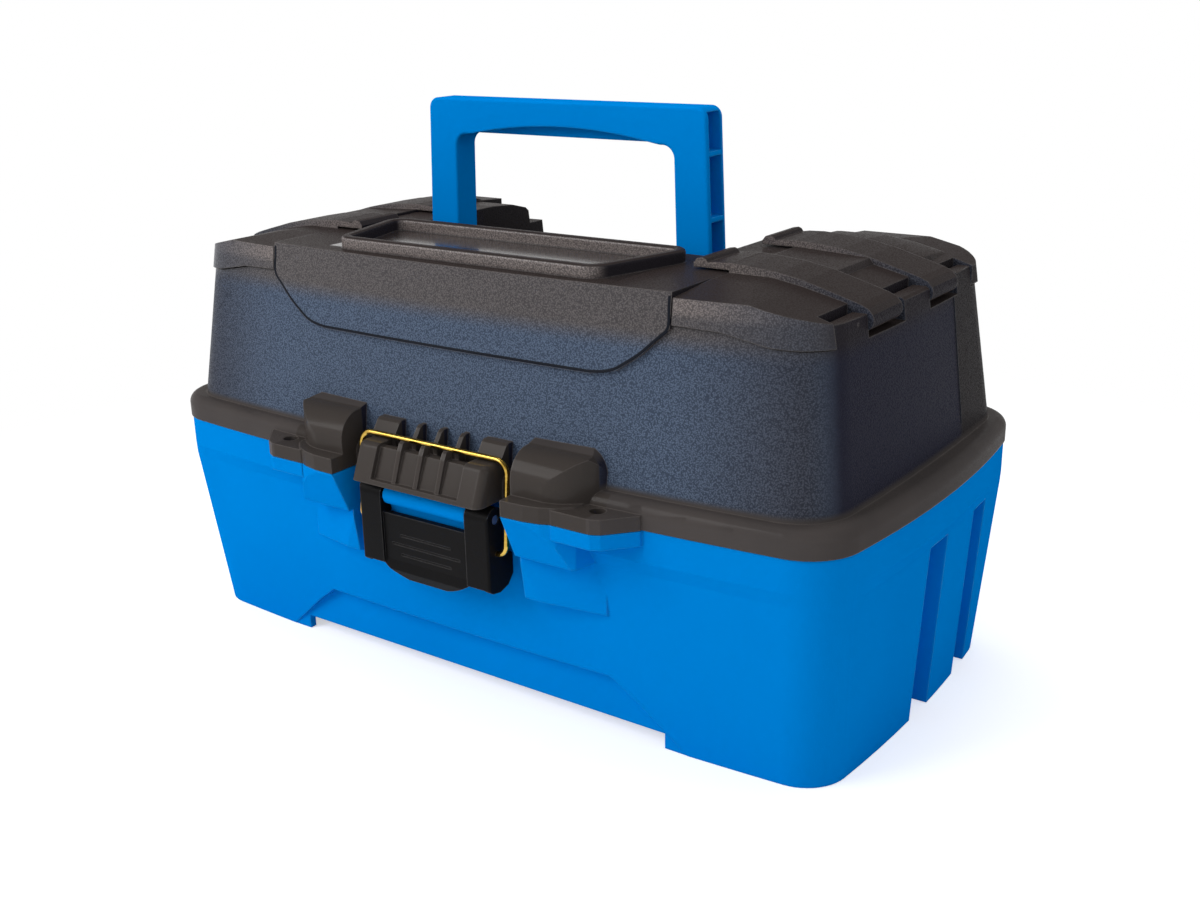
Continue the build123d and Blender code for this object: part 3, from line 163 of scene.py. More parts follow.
def seen_directly(tree):
    """1 for rays from the camera, from a reflection or through glass, and 0 for light."""
    path = add_node(tree, "ShaderNodeLightPath")
    return largest(tree, path.outputs["Is Camera Ray"], path.outputs["Is Glossy Ray"],
                   path.outputs["Is Transmission Ray"])


def background(tree, colour, strength):
    """A sky of one colour, with a strength that may be an output."""
    node = add_node(tree, "ShaderNodeBackground")
    feed(tree, node.inputs["Color"], colour)
    feed(tree, node.inputs["Strength"], strength)
    return node.outputs[0]


def sky():
    """White towards the camera, a white sweep under a dim ceiling in reflections, softer as light."""
    world = bpy.data.worlds.new("studio_sky")
    world.use_nodes = True
    tree = world.node_tree
    tree.nodes.clear()
    out = add_node(tree, "ShaderNodeOutputWorld")
    path = add_node(tree, "ShaderNodeLightPath")
    glimpse = largest(tree, path.outputs["Is Camera Ray"], sweep_height(tree))
    mixed = blended(tree, seen_directly(tree), background(tree, SKY_TINT, SKY_LIGHT),
                    background(tree, WHITE, glimpse))
    tree.links.new(mixed, out.inputs["Surface"])
    bpy.context.scene.world = world


def lamp(name, place, size, power):
    """A square area lamp that faces the middle of the case."""
    data = bpy.data.lights.new(name, "AREA")
    data.shape = "SQUARE"
    data.size = size
    data.energy = power
    lamp_object = bpy.data.objects.new(name, data)
    lamp_object.location = place
    way = Vector(CASE_MIDDLE) - Vector(place)
    lamp_object.rotation_euler = way.to_track_quat("-Z", "Y").to_euler()
    bpy.context.scene.collection.objects.link(lamp_object)


sky()
for name, (place, size, power) in LAMPS.items():
    lamp(name, place, size, power)
bpy.context.scene.view_settings.view_transform = "Standard"
print("lamps:", list(LAMPS))

# %% The floor
PAPER = (0.86, 0.86, 0.86, 1)
PAPER_LIFT = 0.55
FADE_FROM, FADE_TO = 0.26, 0.55
FLOOR_HALF, FLOOR_DROP = 6.0, 0.0002


def emission(tree, strength):
    """Plain white light from a surface."""
    node = add_node(tree, "ShaderNodeEmission")
    node.inputs["Strength"].default_value = strength
    return node.outputs[0]


def floor_material():
    """White sweep: plain white to the camera, but with the case's soft shadow kept near it."""
    material = bpy.data.materials.new("white_sweep")
    material.use_nodes = True
    tree = material.node_tree
    tree.nodes.clear()
    out = add_node(tree, "ShaderNodeOutputMaterial")
    paper = add_node(tree, "ShaderNodeBsdfDiffuse")
    paper.inputs["Color"].default_value = PAPER
    lifted = add_node(tree, "ShaderNodeAddShader")
    tree.links.new(paper.outputs[0], lifted.inputs[0])
    tree.links.new(emission(tree, PAPER_LIFT), lifted.inputs[1])
    place = add_node(tree, "ShaderNodeTexCoord")
    reach = add_node(tree, "ShaderNodeVectorMath", operation="LENGTH")
    tree.links.new(place.outputs["Object"], reach.inputs[0])
    fade = stretched(tree, reach.outputs["Value"], FADE_FROM, FADE_TO)
    near_or_far = blended(tree, fade, lifted.outputs[0], emission(tree, 1.0))
    either = blended(tree, seen_directly(tree), paper.outputs[0], near_or_far)
    tree.links.new(either, out.inputs["Surface"])
    return material


floor_mesh = bpy.data.meshes.new("floor")
floor_shape = bmesh.new()
bmesh.ops.create_grid(floor_shape, x_segments=1, y_segments=1, size=FLOOR_HALF)
floor_shape.to_mesh(floor_mesh)
floor_shape.free()
floor = bpy.data.objects.new("floor", floor_mesh)
floor.location.z = -FLOOR_DROP
floor.data.materials.append(floor_material())
bpy.context.scene.collection.objects.link(floor)
print("floor is", floor.dimensions.x, "m wide")

# %% [markdown]
# ## Grain and soft edges, shared by all the plastics
# A steel mould is etched before it is used, and the etching leaves its grain on the part. On the smoke lid
# it is a fine leather: small closed cells with soft creases between. A Voronoi pattern gives cells, and a
# little noise bends them so that no straight line is left. On the blue parts it is only a fine sand. Both
# are made as shader groups with named sizes, so that each plastic sets its own scale and depth.

# %% Group: leather grain
BEND_SCALE, BEND_REACH = 420.0, (0.0012, 0.0012, 0.0012)
FINE_RATIO, FINE_SHARE = 2.2, 0.35
CELL_SMOOTHNESS, CREASE_REACH, CROWN_REACH = 0.6, 0.75, 0.15
PATCHES_PER_METRE = 28.0


def new_group(name, inputs, outputs):
    """A shader group with named number inputs and named outputs, and its two end nodes."""
    tree = bpy.data.node_groups.new(name, "ShaderNodeTree")
    for label, value in inputs.items():
        socket = tree.interface.new_socket(name=label, in_out="INPUT", socket_type="NodeSocketFloat")
        socket.default_value = value
    for label in outputs:
        kind = "NodeSocketVector" if label.endswith("normal") else "NodeSocketFloat"
        tree.interface.new_socket(name=label, in_out="OUTPUT", socket_type=kind)
    return tree, add_node(tree, "NodeGroupInput"), add_node(tree, "NodeGroupOutput")


def noise(tree, place, scale, detail, roughness=0.5):
    """A noise texture that is read at a place."""
    node = add_node(tree, "ShaderNodeTexNoise")
    for name, value in (("Vector", place), ("Scale", scale), ("Detail", detail),
                        ("Roughness", roughness)):
        feed(tree, node.inputs[name], value)
    return node


def leather_grain_group():
    """Height of an etched leather grain, from 0 in the creases to 1 on the cells."""
    tree, inside, outside = new_group("leather_grain", {"Cells per metre": 700.0}, ("Height", "Patches"))
    place = add_node(tree, "ShaderNodeTexCoord").outputs["Object"]
    bend = noise(tree, place, BEND_SCALE, 2.0)
    shift = add_node(tree, "ShaderNodeVectorMath", operation="MULTIPLY_ADD")
    for socket, value in zip(shift.inputs, (bend.outputs["Color"], BEND_REACH, place)):
        feed(tree, socket, value)
    cells = add_node(tree, "ShaderNodeTexVoronoi", feature="SMOOTH_F1")
    for name, value in (("Vector", shift.outputs[0]), ("Scale", inside.outputs[0]),
                        ("Smoothness", CELL_SMOOTHNESS)):
        feed(tree, cells.inputs[name], value)
    fine = noise(tree, place, maths(tree, "MULTIPLY", inside.outputs[0], FINE_RATIO), 3.0)
    crown = stretched(tree, cells.outputs["Distance"], CREASE_REACH, CROWN_REACH)
    height = maths(tree, "MULTIPLY_ADD", fine.outputs["Fac"], FINE_SHARE, crown)
    tree.links.new(height, outside.inputs["Height"])
    patches = noise(tree, place, PATCHES_PER_METRE, 3.0)
    tree.links.new(patches.outputs["Fac"], outside.inputs["Patches"])
    return tree


leather_grain = leather_grain_group()
print("group:", leather_grain.name)

# %% Group: sand grain
SAND_HARSHNESS, FLOW_MARKS_PER_METRE = 0.6, 11.0


def sand_grain_group():
    """Fine sand-blasted grain, with broad soft patches for flow marks."""
    tree, inside, outside = new_group("sand_grain", {"Grains per metre": 1500.0}, ("Height", "Patches"))
    place = add_node(tree, "ShaderNodeTexCoord").outputs["Object"]
    grains = noise(tree, place, inside.outputs[0], 2.0, roughness=SAND_HARSHNESS)
    flow = noise(tree, place, FLOW_MARKS_PER_METRE, 3.0)
    tree.links.new(grains.outputs["Fac"], outside.inputs["Height"])
    tree.links.new(flow.outputs["Fac"], outside.inputs["Patches"])
    return tree


sand_grain = sand_grain_group()
print("group:", sand_grain.name)

# %% [markdown]
# ## Rounded edges without more triangles
# No moulded edge is truly sharp. The Bevel node looks a fraction of a millimetre to each side of a point
# and tilts its normal as a real radius would, so each edge catches a thin line of light. Where that tilt is
# large, the point lies on an edge, and this group turns it into a mask for slight polish and for a painted
# highlight line in the colour.

# %% Group: edge mask
# the cosine of the tilt: above FLAT_COSINE no edge, below EDGE_COSINE all edge
FLAT_COSINE, EDGE_COSINE = 0.99, 0.80


def edge_mask_group():
    """1 on a sharp edge and 0 on a flat face, from a bevelled normal and the plain one."""
    tree, inside, outside = new_group("edge_mask", {"Radius": 0.0012}, ("Mask", "Rounded normal"))
    soft = add_node(tree, "ShaderNodeBevel", samples=6)
    plain = add_node(tree, "ShaderNodeNewGeometry")
    dot = add_node(tree, "ShaderNodeVectorMath", operation="DOT_PRODUCT")
    tree.links.new(inside.outputs[0], soft.inputs["Radius"])
    tree.links.new(soft.outputs["Normal"], dot.inputs[0])
    tree.links.new(plain.outputs["Normal"], dot.inputs[1])
    mask = stretched(tree, dot.outputs["Value"], FLAT_COSINE, EDGE_COSINE)
    tree.links.new(mask, outside.inputs["Mask"])
    tree.links.new(soft.outputs["Normal"], outside.inputs["Rounded normal"])
    return tree


edge_mask = edge_mask_group()
print("group:", edge_mask.name)

# %% [markdown]
# ## The finishes
# Each finish is one Principled shader. The colour is mixed from two near shades by the broad patches, then
# lightened on the edges as a painted highlight. The grain goes to a Bump node, whose normal starts from the
# rounded one. Roughness rises in the creases and falls on the cells. The plain gloss is kept low, because a
# white studio would wash out dark colours at a grazing angle, and a thin coat brings the shine back only
# where the part is polished.

# %% One helper for the plastics
COAT_ROUGHNESS = 0.15
# how far the edges are mixed towards a lighter colour, a painted highlight line
EDGE_HIGHLIGHT_SHARE = 0.55
# the stretch of the patches and of the grain's height that is opened out to a full mask
PATCH_RANGE, GRAIN_RANGE = (0.35, 0.65), (0.2, 0.9)


def use_group(tree, group, value):
    """A shader group placed in a material, with its first input set."""
    node = add_node(tree, "ShaderNodeGroup", node_tree=group)
    node.inputs[0].default_value = value
    return node


def colour_mix(tree, factor, low, high, blend_type="MIX"):
    """Two colours, given as tuples or outputs, mixed by a mask."""
    mix = add_node(tree, "ShaderNodeMix", data_type="RGBA", blend_type=blend_type)
    for index, value in ((0, factor), (6, low), (7, high)):
        feed(tree, mix.inputs[index], (*value, 1) if isinstance(value, tuple) else value)
    return mix.outputs[2]


def one_zone(tree, grain, colour):
    """The same colour, grain and polish all over a part."""
    return colour, grain.outputs["Height"], ()


def plastic(name, shades, edge_highlight, grain, grain_scale, depth, rough,
            radius=0.0012, gloss=0.1, polish=0.25, zones=one_zone):
    """A moulded plastic: two shades, a painted edge highlight, a grain, its roughness range and polished
    edges.
    """
    material = bpy.data.materials.new(name)
    material.use_nodes = True
    tree = material.node_tree
    shader = tree.nodes["Principled BSDF"]
    shader.inputs["Specular IOR Level"].default_value = gloss
    shader.inputs["Coat Roughness"].default_value = COAT_ROUGHNESS
    surface = use_group(tree, grain, grain_scale)
    edges = use_group(tree, edge_mask, radius)
    patchy = stretched(tree, surface.outputs["Patches"], *PATCH_RANGE)
    colour, height, coats = zones(tree, surface, colour_mix(tree, patchy, *shades))
    # painted highlight: the edges are lightened towards a lighter colour of the same plastic
    painted_edge_light = stretched(tree, edges.outputs["Mask"], 0.0, 1.0, 0.0, EDGE_HIGHLIGHT_SHARE)
    polished = stretched(tree, edges.outputs["Mask"], 0.0, 1.0, 0.0, polish)
    bump = add_node(tree, "ShaderNodeBump")
    for socket, value in (("Strength", 1.0), ("Distance", depth), ("Height", height),
                          ("Normal", edges.outputs["Rounded normal"])):
        feed(tree, bump.inputs[socket], value)
    finish = {
        "Base Color": colour_mix(tree, painted_edge_light, colour, edge_highlight),
        "Roughness": stretched(tree, surface.outputs["Height"], *GRAIN_RANGE, rough[1], rough[0]),
        "Normal": bump.outputs["Normal"],
        "Coat Weight": largest(tree, polished, *coats),
    }
    for socket, value in finish.items():
        tree.links.new(value, shader.inputs[socket])
    return material


print("helper ready: plastic()")

# %% Blue plastics
tub_blue = plastic(
    "tub_blue", ((0.0, 0.232, 0.70), (0.0, 0.245, 0.73)), edge_highlight=(0.01, 0.30, 0.80),
    grain=sand_grain, grain_scale=1300.0, depth=0.00006, rough=(0.42, 0.56), gloss=0.0, polish=0.15)
tray_blue = plastic(
    "tray_blue", ((0.005, 0.20, 0.58), (0.005, 0.22, 0.62)), edge_highlight=(0.02, 0.28, 0.72),
    grain=sand_grain, grain_scale=900.0, depth=0.00002, rough=(0.34, 0.46), radius=0.0008, gloss=0.2)
print("made", tub_blue.name, "and", tray_blue.name)

# %% [markdown]
# ## Smoke plastic
# The lid is a dark see-through brown. Where its walls are doubled, on the lip, the doors and the top, it
# looks warm and nearly black. Where one thin wall hides the blue trays, it takes a cold blue tint, which
# turns darker and less blue towards the outer corners. Light that passes twice through such a wall is too
# weak to be worth tracing, so the tint is painted from the height and the place along the wall. Light is
# painted in too: walls that face sideways are painted far darker than those that face the front, as painted
# shade, the front colours hold a painted sheen, and the level tops are painted darker, also painted shade.

# %% Masks from borders


def times(tree, *values):
    """The product of some masks."""
    result = values[0]
    for value in values[1:]:
        result = maths(tree, "MULTIPLY", result, value)
    return result


def inverse(tree, value):
    """1 minus a mask."""
    return maths(tree, "SUBTRACT", 1.0, value)


def above(tree, value, border, soft):
    """1 above a border and 0 below it."""
    return stretched(tree, value, border - soft, border + soft)


def below(tree, value, border, soft):
    """1 below a border and 0 above it."""
    return stretched(tree, value, border + soft, border - soft)


def between(tree, value, low, high, soft):
    """1 between two borders and 0 outside them."""
    return times(tree, above(tree, value, low, soft), below(tree, value, high, soft))


print("mask helpers ready: times(), inverse(), above(), below(), between()")

# %% Group: the zones of the lid
# borders in metres, each with half the width over which it softens; ROOF_DEPTH and ROOF_HEIGHT
# give from, to and softness, and the tilts are parts of a face's unit normal
LIP_TOP = 0.1165
LIP_SOFT = 0.0015
CRISP = 0.0005
LATCH_HALF, LATCH_FRONT, LATCH_TOP = 0.0880, -0.0995, 0.1330
BLUE_TOP, BLUE_SOFT = 0.176, 0.005
CAP_LOW, CAP_SOFT, CAP_INNER = 0.1875, 0.0020, 0.1095
RIM_LOW, RIM_SOFT = 0.1965, 0.0003
REAR_FROM, REAR_SOFT = 0.0375, 0.0025
TOP_FROM, TOP_SOFT = 0.161, 0.001
ROOF_DEPTH, ROOF_HEIGHT, ROOF_HALF = (-0.0800, -0.0330, 0.0008), (0.1953, 0.1967, 0.0002), 0.0795
CORNER_FROM, CORNER_SOFT = 0.1375, 0.0375
WALL_TILT, WALL_SOFT, FRONT_TILT, FRONT_SOFT = 0.65, 0.15, 0.55, 0.30


def lid_zones_group():
    """Masks for the zones of the lid, read from the place and the way a face looks."""
    tree, inside, outside = new_group(
        "lid_zones", {"Lip height": LIP_TOP},
        ("Grained", "Facing front", "Upper", "Top", "Roof", "Corner", "Crest", "Rear", "Latch"))
    place = add_node(tree, "ShaderNodeTexCoord")
    spot = add_node(tree, "ShaderNodeSeparateXYZ")
    way = add_node(tree, "ShaderNodeSeparateXYZ")
    tree.links.new(place.outputs["Object"], spot.inputs[0])
    tree.links.new(place.outputs["Normal"], way.inputs[0])
    y, z = spot.outputs["Y"], spot.outputs["Z"]
    from_middle, facing_y, facing_z = (maths(tree, "ABSOLUTE", socket) for socket in
                                       (spot.outputs["X"], way.outputs["Y"], way.outputs["Z"]))
    over_lip = maths(tree, "SUBTRACT", z, inside.outputs[0])
    wall = below(tree, facing_z, WALL_TILT, WALL_SOFT)
    level = inverse(tree, wall)
    latch = times(tree, below(tree, from_middle, LATCH_HALF, CRISP),
                  below(tree, y, LATCH_FRONT, CRISP), below(tree, z, LATCH_TOP, CRISP))
    cap = times(tree, above(tree, z, CAP_LOW, CAP_SOFT), above(tree, from_middle, CAP_INNER, CRISP))
    masks = {
        "Grained": times(tree, wall, above(tree, over_lip, 0.0, LIP_SOFT), inverse(tree, latch)),
        "Facing front": above(tree, facing_y, FRONT_TILT, FRONT_SOFT),
        "Upper": above(tree, z, BLUE_TOP, BLUE_SOFT),
        "Top": times(tree, level, above(tree, z, TOP_FROM, TOP_SOFT)),
        "Roof": times(tree, between(tree, y, *ROOF_DEPTH), between(tree, z, *ROOF_HEIGHT),
                      below(tree, from_middle, ROOF_HALF, CRISP), level),
        "Corner": above(tree, from_middle, CORNER_FROM, CORNER_SOFT),
        "Crest": largest(tree, above(tree, z, RIM_LOW, RIM_SOFT), cap),
        "Rear": above(tree, y, REAR_FROM, REAR_SOFT),
        "Latch": latch,
    }
    for name, mask in masks.items():
        tree.links.new(mask, outside.inputs[name])
    return tree


lid_zones = lid_zones_group()
print("group:", lid_zones.name)

# %% The smoke plastic itself
SMOKE = {
    "latch": (0.054, 0.045, 0.040),
    # front colours: the cold tint together with a painted sheen from the front light
    "front low": (0.080, 0.108, 0.162), "front high": (0.094, 0.083, 0.083),
    # crest highlight: a painted highlight on the front of the rim and the door caps
    "crest highlight": (0.185, 0.155, 0.145), "corner": (0.050, 0.054, 0.071),
    # side colours: painted shade, far darker than the front ones
    "side low": (0.0235, 0.0235, 0.0375), "side high": (0.0265, 0.0230, 0.0270),
    # top: painted shade, darker than the satin lip of the same plastic
    "side rear": (0.0260, 0.0225, 0.0235), "top": (0.038, 0.029, 0.027),
}
# the grain's creases are painted darker, as painted shade, and its cells lighter, as painted glints
CREASE_SHADE, CELL_GLINT, GLINT_RANGE = (0.58, 0.58, 0.60), (1.44, 1.44, 1.42), (0.10, 1.30)
# what is left of the painted glints and crease shade on the sides, and of the grain's height on the satin
# parts
SIDE_GLINTS, SATIN_GRAIN = 0.15, 0.12
SHEEN_LOW, SHEEN_HIGH, LATCH_SHEEN = 0.10, 0.40, 0.15


def smoke_zones(tree, grain, satin):
    """Grained thin walls with a cold tint and painted shade on the sides, satin lip and latch parts, and a
    glossy roof.
    """
    zone = use_group(tree, lid_zones, LIP_TOP).outputs
    facing = zone["Facing front"]
    satin = colour_mix(tree, zone["Latch"], satin, SMOKE["latch"])
    front = colour_mix(tree, zone["Upper"], SMOKE["front low"], SMOKE["front high"])
    # a painted highlight on the front of the rim and of the door caps
    front = colour_mix(tree, zone["Crest"], front, SMOKE["crest highlight"])
    side = colour_mix(tree, zone["Upper"], SMOKE["side low"], SMOKE["side high"])
    side = colour_mix(tree, zone["Rear"], side, SMOKE["side rear"])
    # walls facing sideways take the painted shade colours, front walls the tint with its painted sheen
    wall = colour_mix(tree, facing, side, front)
    wall = colour_mix(tree, times(tree, zone["Corner"], facing), wall, SMOKE["corner"])
    colour = colour_mix(tree, zone["Grained"], satin, wall)
    # the level tops are painted darker than the lip: painted shade
    colour = colour_mix(tree, zone["Top"], colour, SMOKE["top"])
    # painted glints on the cells and painted shade in the creases, weaker on the sides
    glint_share = stretched(tree, grain.outputs["Height"], *GLINT_RANGE)
    glint_mask = times(tree, zone["Grained"], stretched(tree, facing, 0.0, 1.0, SIDE_GLINTS, 1.0))
    painted_glints = colour_mix(tree, glint_share, CREASE_SHADE, CELL_GLINT)
    colour = colour_mix(tree, glint_mask, colour, painted_glints, "MULTIPLY")
    faint = stretched(tree, zone["Grained"], 0.0, 1.0, SATIN_GRAIN, 1.0)
    height = times(tree, grain.outputs["Height"], faint)
    sheen = times(tree, stretched(tree, zone["Upper"], 0.0, 1.0, SHEEN_LOW, SHEEN_HIGH), facing)
    latch_sheen = stretched(tree, zone["Latch"], 0.0, 1.0, 0.0, LATCH_SHEEN)
    return colour, height, (sheen, zone["Roof"], latch_sheen)


lid_smoke = plastic(
    "lid_smoke", ((0.066, 0.057, 0.054), (0.075, 0.064, 0.060)), edge_highlight=(0.150, 0.128, 0.118),
    grain=leather_grain, grain_scale=1600.0, depth=0.00012, rough=(0.30, 0.50),
    radius=0.0011, gloss=0.01, polish=0.3, zones=smoke_zones)
print("made", lid_smoke.name)

# %% [markdown]
# ## The small parts
# The lever is black, with a coarser sand on it. The arms are dark grey. The loose dividers are milky. The
# bail is drawn brass wire: bright metal with fine lines from the die. Pins and rivets are steel.

# %% Lever, arms and dividers
lever_black = plastic(
    "lever_black", ((0.0050, 0.0048, 0.0052), (0.0070, 0.0064, 0.0066)), edge_highlight=(0.07, 0.066, 0.066),
    grain=sand_grain, grain_scale=1500.0, depth=0.00006, rough=(0.30, 0.46),
    radius=0.0007, gloss=0.05, polish=0.5)
arm_grey = plastic(
    "arm_grey", ((0.045, 0.046, 0.05), (0.055, 0.056, 0.06)), edge_highlight=(0.10, 0.10, 0.11),
    grain=sand_grain, grain_scale=1200.0, depth=0.00003, rough=(0.40, 0.52), radius=0.0006)
divider_clear = plastic(
    "divider_clear", ((0.50, 0.53, 0.56), (0.56, 0.58, 0.60)), edge_highlight=(0.68, 0.70, 0.72),
    grain=sand_grain, grain_scale=900.0, depth=0.00002, rough=(0.30, 0.42), radius=0.0005)
print("made", lever_black.name, arm_grey.name, divider_clear.name)

# %% Brass wire and steel
LINE_RANGE = (0.3, 0.7)
LINE_STRENGTH, LINE_DEPTH = 0.15, 0.00002


def drawn_metal(name, shades, rough, lines_per_metre, lengthwise):
    """A drawn or turned metal. A small part of lengthwise draws its fine lines out along that axis."""
    material = bpy.data.materials.new(name)
    material.use_nodes = True
    tree = material.node_tree
    shader = tree.nodes["Principled BSDF"]
    shader.inputs["Metallic"].default_value = 1.0
    place = add_node(tree, "ShaderNodeTexCoord")
    stretch = add_node(tree, "ShaderNodeMapping")
    stretch.inputs["Scale"].default_value = lengthwise
    tree.links.new(place.outputs["Object"], stretch.inputs["Vector"])
    lines = noise(tree, stretch.outputs["Vector"], lines_per_metre, 3.0).outputs["Fac"]
    bump = add_node(tree, "ShaderNodeBump")
    for socket, value in (("Strength", LINE_STRENGTH), ("Distance", LINE_DEPTH), ("Height", lines)):
        feed(tree, bump.inputs[socket], value)
    finish = {
        "Base Color": colour_mix(tree, stretched(tree, lines, *LINE_RANGE), *shades),
        "Roughness": stretched(tree, lines, *LINE_RANGE, *rough),
        "Normal": bump.outputs["Normal"],
    }
    for socket, value in finish.items():
        tree.links.new(value, shader.inputs[socket])
    return material


bail_brass = drawn_metal("bail_brass", ((0.50, 0.31, 0.05), (0.66, 0.44, 0.10)), rough=(0.14, 0.26),
                         lines_per_metre=900.0, lengthwise=(0.15, 1.0, 1.0))
pin_steel = drawn_metal("pin_steel", ((0.40, 0.41, 0.43), (0.45, 0.46, 0.48)), rough=(0.42, 0.50),
                        lines_per_metre=1200.0, lengthwise=(1.0, 1.0, 1.0))
print("made", bail_brass.name, "and", pin_steel.name)

# %% Give each node its finish
FINISH = {
    "base_tub": tub_blue, "carry_handle": tub_blue,
    "lid_shell": lid_smoke, "left_access_door": lid_smoke, "right_access_door": lid_smoke,
    "latch_lever": lever_black, "latch_bail": bail_brass,
    "upper_tray": tray_blue, "lower_tray": tray_blue,
    "upper_tray_dividers": divider_clear, "lower_tray_dividers": divider_clear,
    "front_arm_left": arm_grey, "front_arm_right": arm_grey,
    "rear_arm_left": arm_grey, "rear_arm_right": arm_grey,
}

for name, node in nodes.items():
    node.data.materials.clear()
    node.data.materials.append(FINISH.get(name, pin_steel))
print("dressed", len(nodes), "nodes")

# %% [markdown]
# ## Trim that follows the mould, and lines of painted shadow
# Three details are too fine or too freely curved for the construction file, so they are added here as thin
# meshes. A dark line runs inside the border of the apron on the front, as painted shadow under the apron's
# step, a narrower one stands near each rear corner, as painted shade along the crease where the side turns,
# and behind the second strap each door swells gently back to its rear edge. Geometry Nodes could also sweep
# the lines along a curve laid on the lid. Here rays are cast at the solid instead, and the same three
# helpers then place the lines and the swells. All are closed skins, sunk a little into the part below. The
# lines have a smoke of their own, darker than the lid's, which paints that shadow.

# %% Rays that find a surface


def surface_tree(node):
    """A search tree over a node's faces, for ray casting."""
    mesh = nodes[node].data
    return BVHTree.FromPolygons([v.co for v in mesh.vertices],
                                [tuple(p.vertices) for p in mesh.polygons])


def first_hit(tree, start, way):
    """The first point where a ray meets the surface."""
    hit = tree.ray_cast(Vector(start), Vector(way))[0]
    if hit is None:
        raise ValueError(f"no surface under {start}")
    return hit


def finish_piece(name, shape, body, material):
    """Turn a bmesh into a dressed piece that rides on a body."""
    bmesh.ops.recalc_face_normals(shape, faces=shape.faces)
    mesh = bpy.data.meshes.new(name)
    shape.to_mesh(mesh)
    shape.free()
    piece = bpy.data.objects.new(name, mesh)
    bpy.context.scene.collection.objects.link(piece)
    mesh.materials.append(material)
    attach(piece, body)
    return piece


print("helpers ready: surface_tree(), first_hit(), finish_piece()")

# %% A dark line of painted shadow laid on the lid
# millimetres below the surface, negative above it
LINE_SUNK, LINE_SHOULDER, LINE_PROUD = 0.9, -0.02, -0.28

# a near-black smoke for the lines: painted shadow under the apron's step, painted shade along the corner
# crease
shadow_smoke = plastic(
    "smoke_shadow_line", ((0.010, 0.012, 0.018), (0.013, 0.015, 0.021)), edge_highlight=(0.05, 0.048, 0.055),
    grain=leather_grain, grain_scale=1600.0, depth=0.00004, rough=(0.34, 0.50),
    radius=0.0006, gloss=0.04, polish=0.1)


def smooth_line(points, steps):
    """A smooth curve through a list of points in a plane."""
    ends = [points[0]] + list(points) + [points[-1]]
    line = []
    for a, b, c, d in zip(ends, ends[1:], ends[2:], ends[3:]):
        for step in range(steps):
            t = step / steps
            line.append(tuple(
                0.5 * (2 * q + (r - p) * t + (2 * p - 5 * q + 4 * r - s) * t * t
                       + (3 * q - p - 3 * r + s) * t ** 3)
                for p, q, r, s in zip(a, b, c, d)))
    return line + [points[-1]]


def lay_shadow_line(name, starts, way_in, half):
    """A dark rounded line of painted shadow on the lid, where rays from the start points meet it."""
    tree = surface_tree("lid_shell")
    way_in = Vector(way_in)
    spots = [first_hit(tree, [c * MM for c in start], way_in) for start in starts]
    section = [(-half, LINE_SUNK), (-half, LINE_SHOULDER), (-0.5 * half, LINE_PROUD),
               (0.5 * half, LINE_PROUD), (half, LINE_SHOULDER), (half, LINE_SUNK)]
    shape = bmesh.new()
    rings = []
    for index, spot in enumerate(spots):
        before, after = spots[max(index - 1, 0)], spots[min(index + 1, len(spots) - 1)]
        along = (after - before).normalized()
        across = along.cross(way_in).normalized()
        rings.append([shape.verts.new(spot + across * (a * MM) + way_in * (d * MM))
                      for a, d in section])
    count = len(section)
    for one, two in zip(rings, rings[1:]):
        for k in range(count):
            shape.faces.new((one[k], one[(k + 1) % count], two[(k + 1) % count], two[k]))
    shape.faces.new(rings[0])
    shape.faces.new(rings[-1])
    return finish_piece(name, shape, "lid", shadow_smoke)


print("made", shadow_smoke.name, "and the helper lay_shadow_line()")

# %% Lines of painted shadow on the lid
# millimetres: (x, z) down the apron's left border, and the level stretch along its foot
APRON_BORDER = [(-107.9, 194.5), (-107.9, 190.0), (-107.9, 182.2), (-103.5, 177.6), (-96.4, 171.1),
                (-91.2, 167.4), (-85.6, 163.9), (-80.2, 162.2), (-73.9, 161.4)]
APRON_LOW_Z, APRON_LEVEL_HALF, APRON_STEP = 161.4, 66, 6
APRON_LINE_HALF = 0.62
CREASE_Y, CREASE_LINE_HALF = 38.0, 0.40
CREASE_HEIGHTS = (122, 126, 132, 140, 148, 156, 164, 170, 174, 177)
CURVE_STEPS = 5
# rays start in front of the case and beside it
RAY_FRONT_Y, RAY_SIDE_X = -200, 250

left = smooth_line(APRON_BORDER, CURVE_STEPS)
middle = [(x, APRON_LOW_Z) for x in range(-APRON_LEVEL_HALF, APRON_LEVEL_HALF + 1, APRON_STEP)]
border = left + middle + [(-x, z) for x, z in reversed(left)]
starts = [(x, RAY_FRONT_Y, z) for x, z in border]
lines = [lay_shadow_line("apron_shadow_line", starts, (0, 1, 0), APRON_LINE_HALF)]
for side, word in ((-1, "left"), (1, "right")):
    crease = [(side * RAY_SIDE_X, CREASE_Y, z) for z in CREASE_HEIGHTS]
    lines.append(lay_shadow_line(f"{word}_corner_shadow_line", crease, (-side, 0, 0), CREASE_LINE_HALF))
print([(piece.name, len(piece.data.vertices)) for piece in lines])

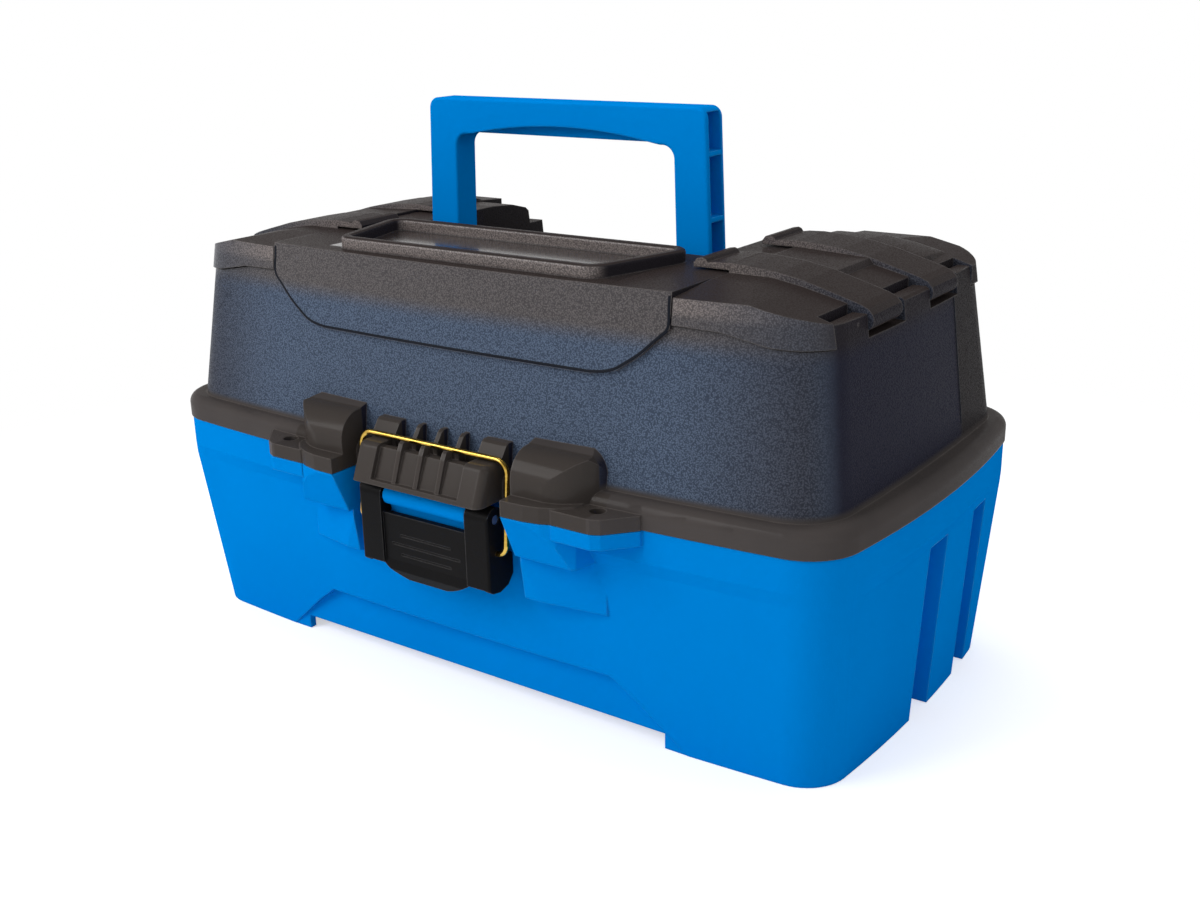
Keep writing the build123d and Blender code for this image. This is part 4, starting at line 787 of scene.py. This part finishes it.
# %% The swell behind the second strap of each door
# millimetres: (x, height) outwards from the middle, and (y, share of that height) towards the rear
SWELL_ALONG = [(109.6, 2.7), (120, 2.7), (131, 2.6), (143, 2.4), (152, 2.1), (156, 1.7), (158, -0.5)]
SWELL_ACROSS = [(38.2, 1.0), (42, 0.98), (47, 0.90), (52, 0.78), (57, 0.62), (61, 0.42), (64, 0.15),
                (66, -0.20)]
# rays fall from RAY_TOP_Z, and none nearer the strap than PAST_STRAP_Y, so that they miss the strap
PAST_STRAP_Y, RAY_TOP_Z, SKIN_SUNK = 39.4, 250, 1.2


def rim_of(rows, columns):
    """The places round the border of a grid, in order."""
    return ([(0, j) for j in range(columns)] + [(i, columns - 1) for i in range(1, rows)]
            + [(rows - 1, j) for j in range(columns - 2, -1, -1)]
            + [(i, 0) for i in range(rows - 2, 0, -1)])


def door_swell(side, body, node):
    """A closed skin over the rear of a door, found by casting rays down at it."""
    tree = surface_tree(node)
    shape = bmesh.new()
    top, low = [], []
    for along, lift in SWELL_ALONG:
        top_row, low_row = [], []
        for across, share in SWELL_ACROSS:
            start = (side * along * MM, max(across, PAST_STRAP_Y) * MM, RAY_TOP_Z * MM)
            ground = first_hit(tree, start, (0, 0, -1)).z
            rise = lift * share if lift > 0 else lift
            place = (side * along * MM, across * MM)
            top_row.append(shape.verts.new((*place, ground + rise * MM)))
            low_row.append(shape.verts.new((*place, ground - SKIN_SUNK * MM)))
        top.append(top_row)
        low.append(low_row)
    rows, columns = len(top), len(top[0])
    for sheet in (top, low):
        for i in range(rows - 1):
            for j in range(columns - 1):
                shape.faces.new((sheet[i][j], sheet[i][j + 1], sheet[i + 1][j + 1], sheet[i + 1][j]))
    rim = rim_of(rows, columns)
    for (a, b), (c, d) in zip(rim, rim[1:] + rim[:1]):
        shape.faces.new((top[a][b], top[c][d], low[c][d], low[a][b]))
    return finish_piece(f"{body}_rear_swell", shape, body, lid_smoke)


for side, body, node in ((-1, "left_door", "left_access_door"), (1, "right_door", "right_access_door")):
    piece = door_swell(side, body, node)
    print(piece.name, len(piece.data.vertices), "points")
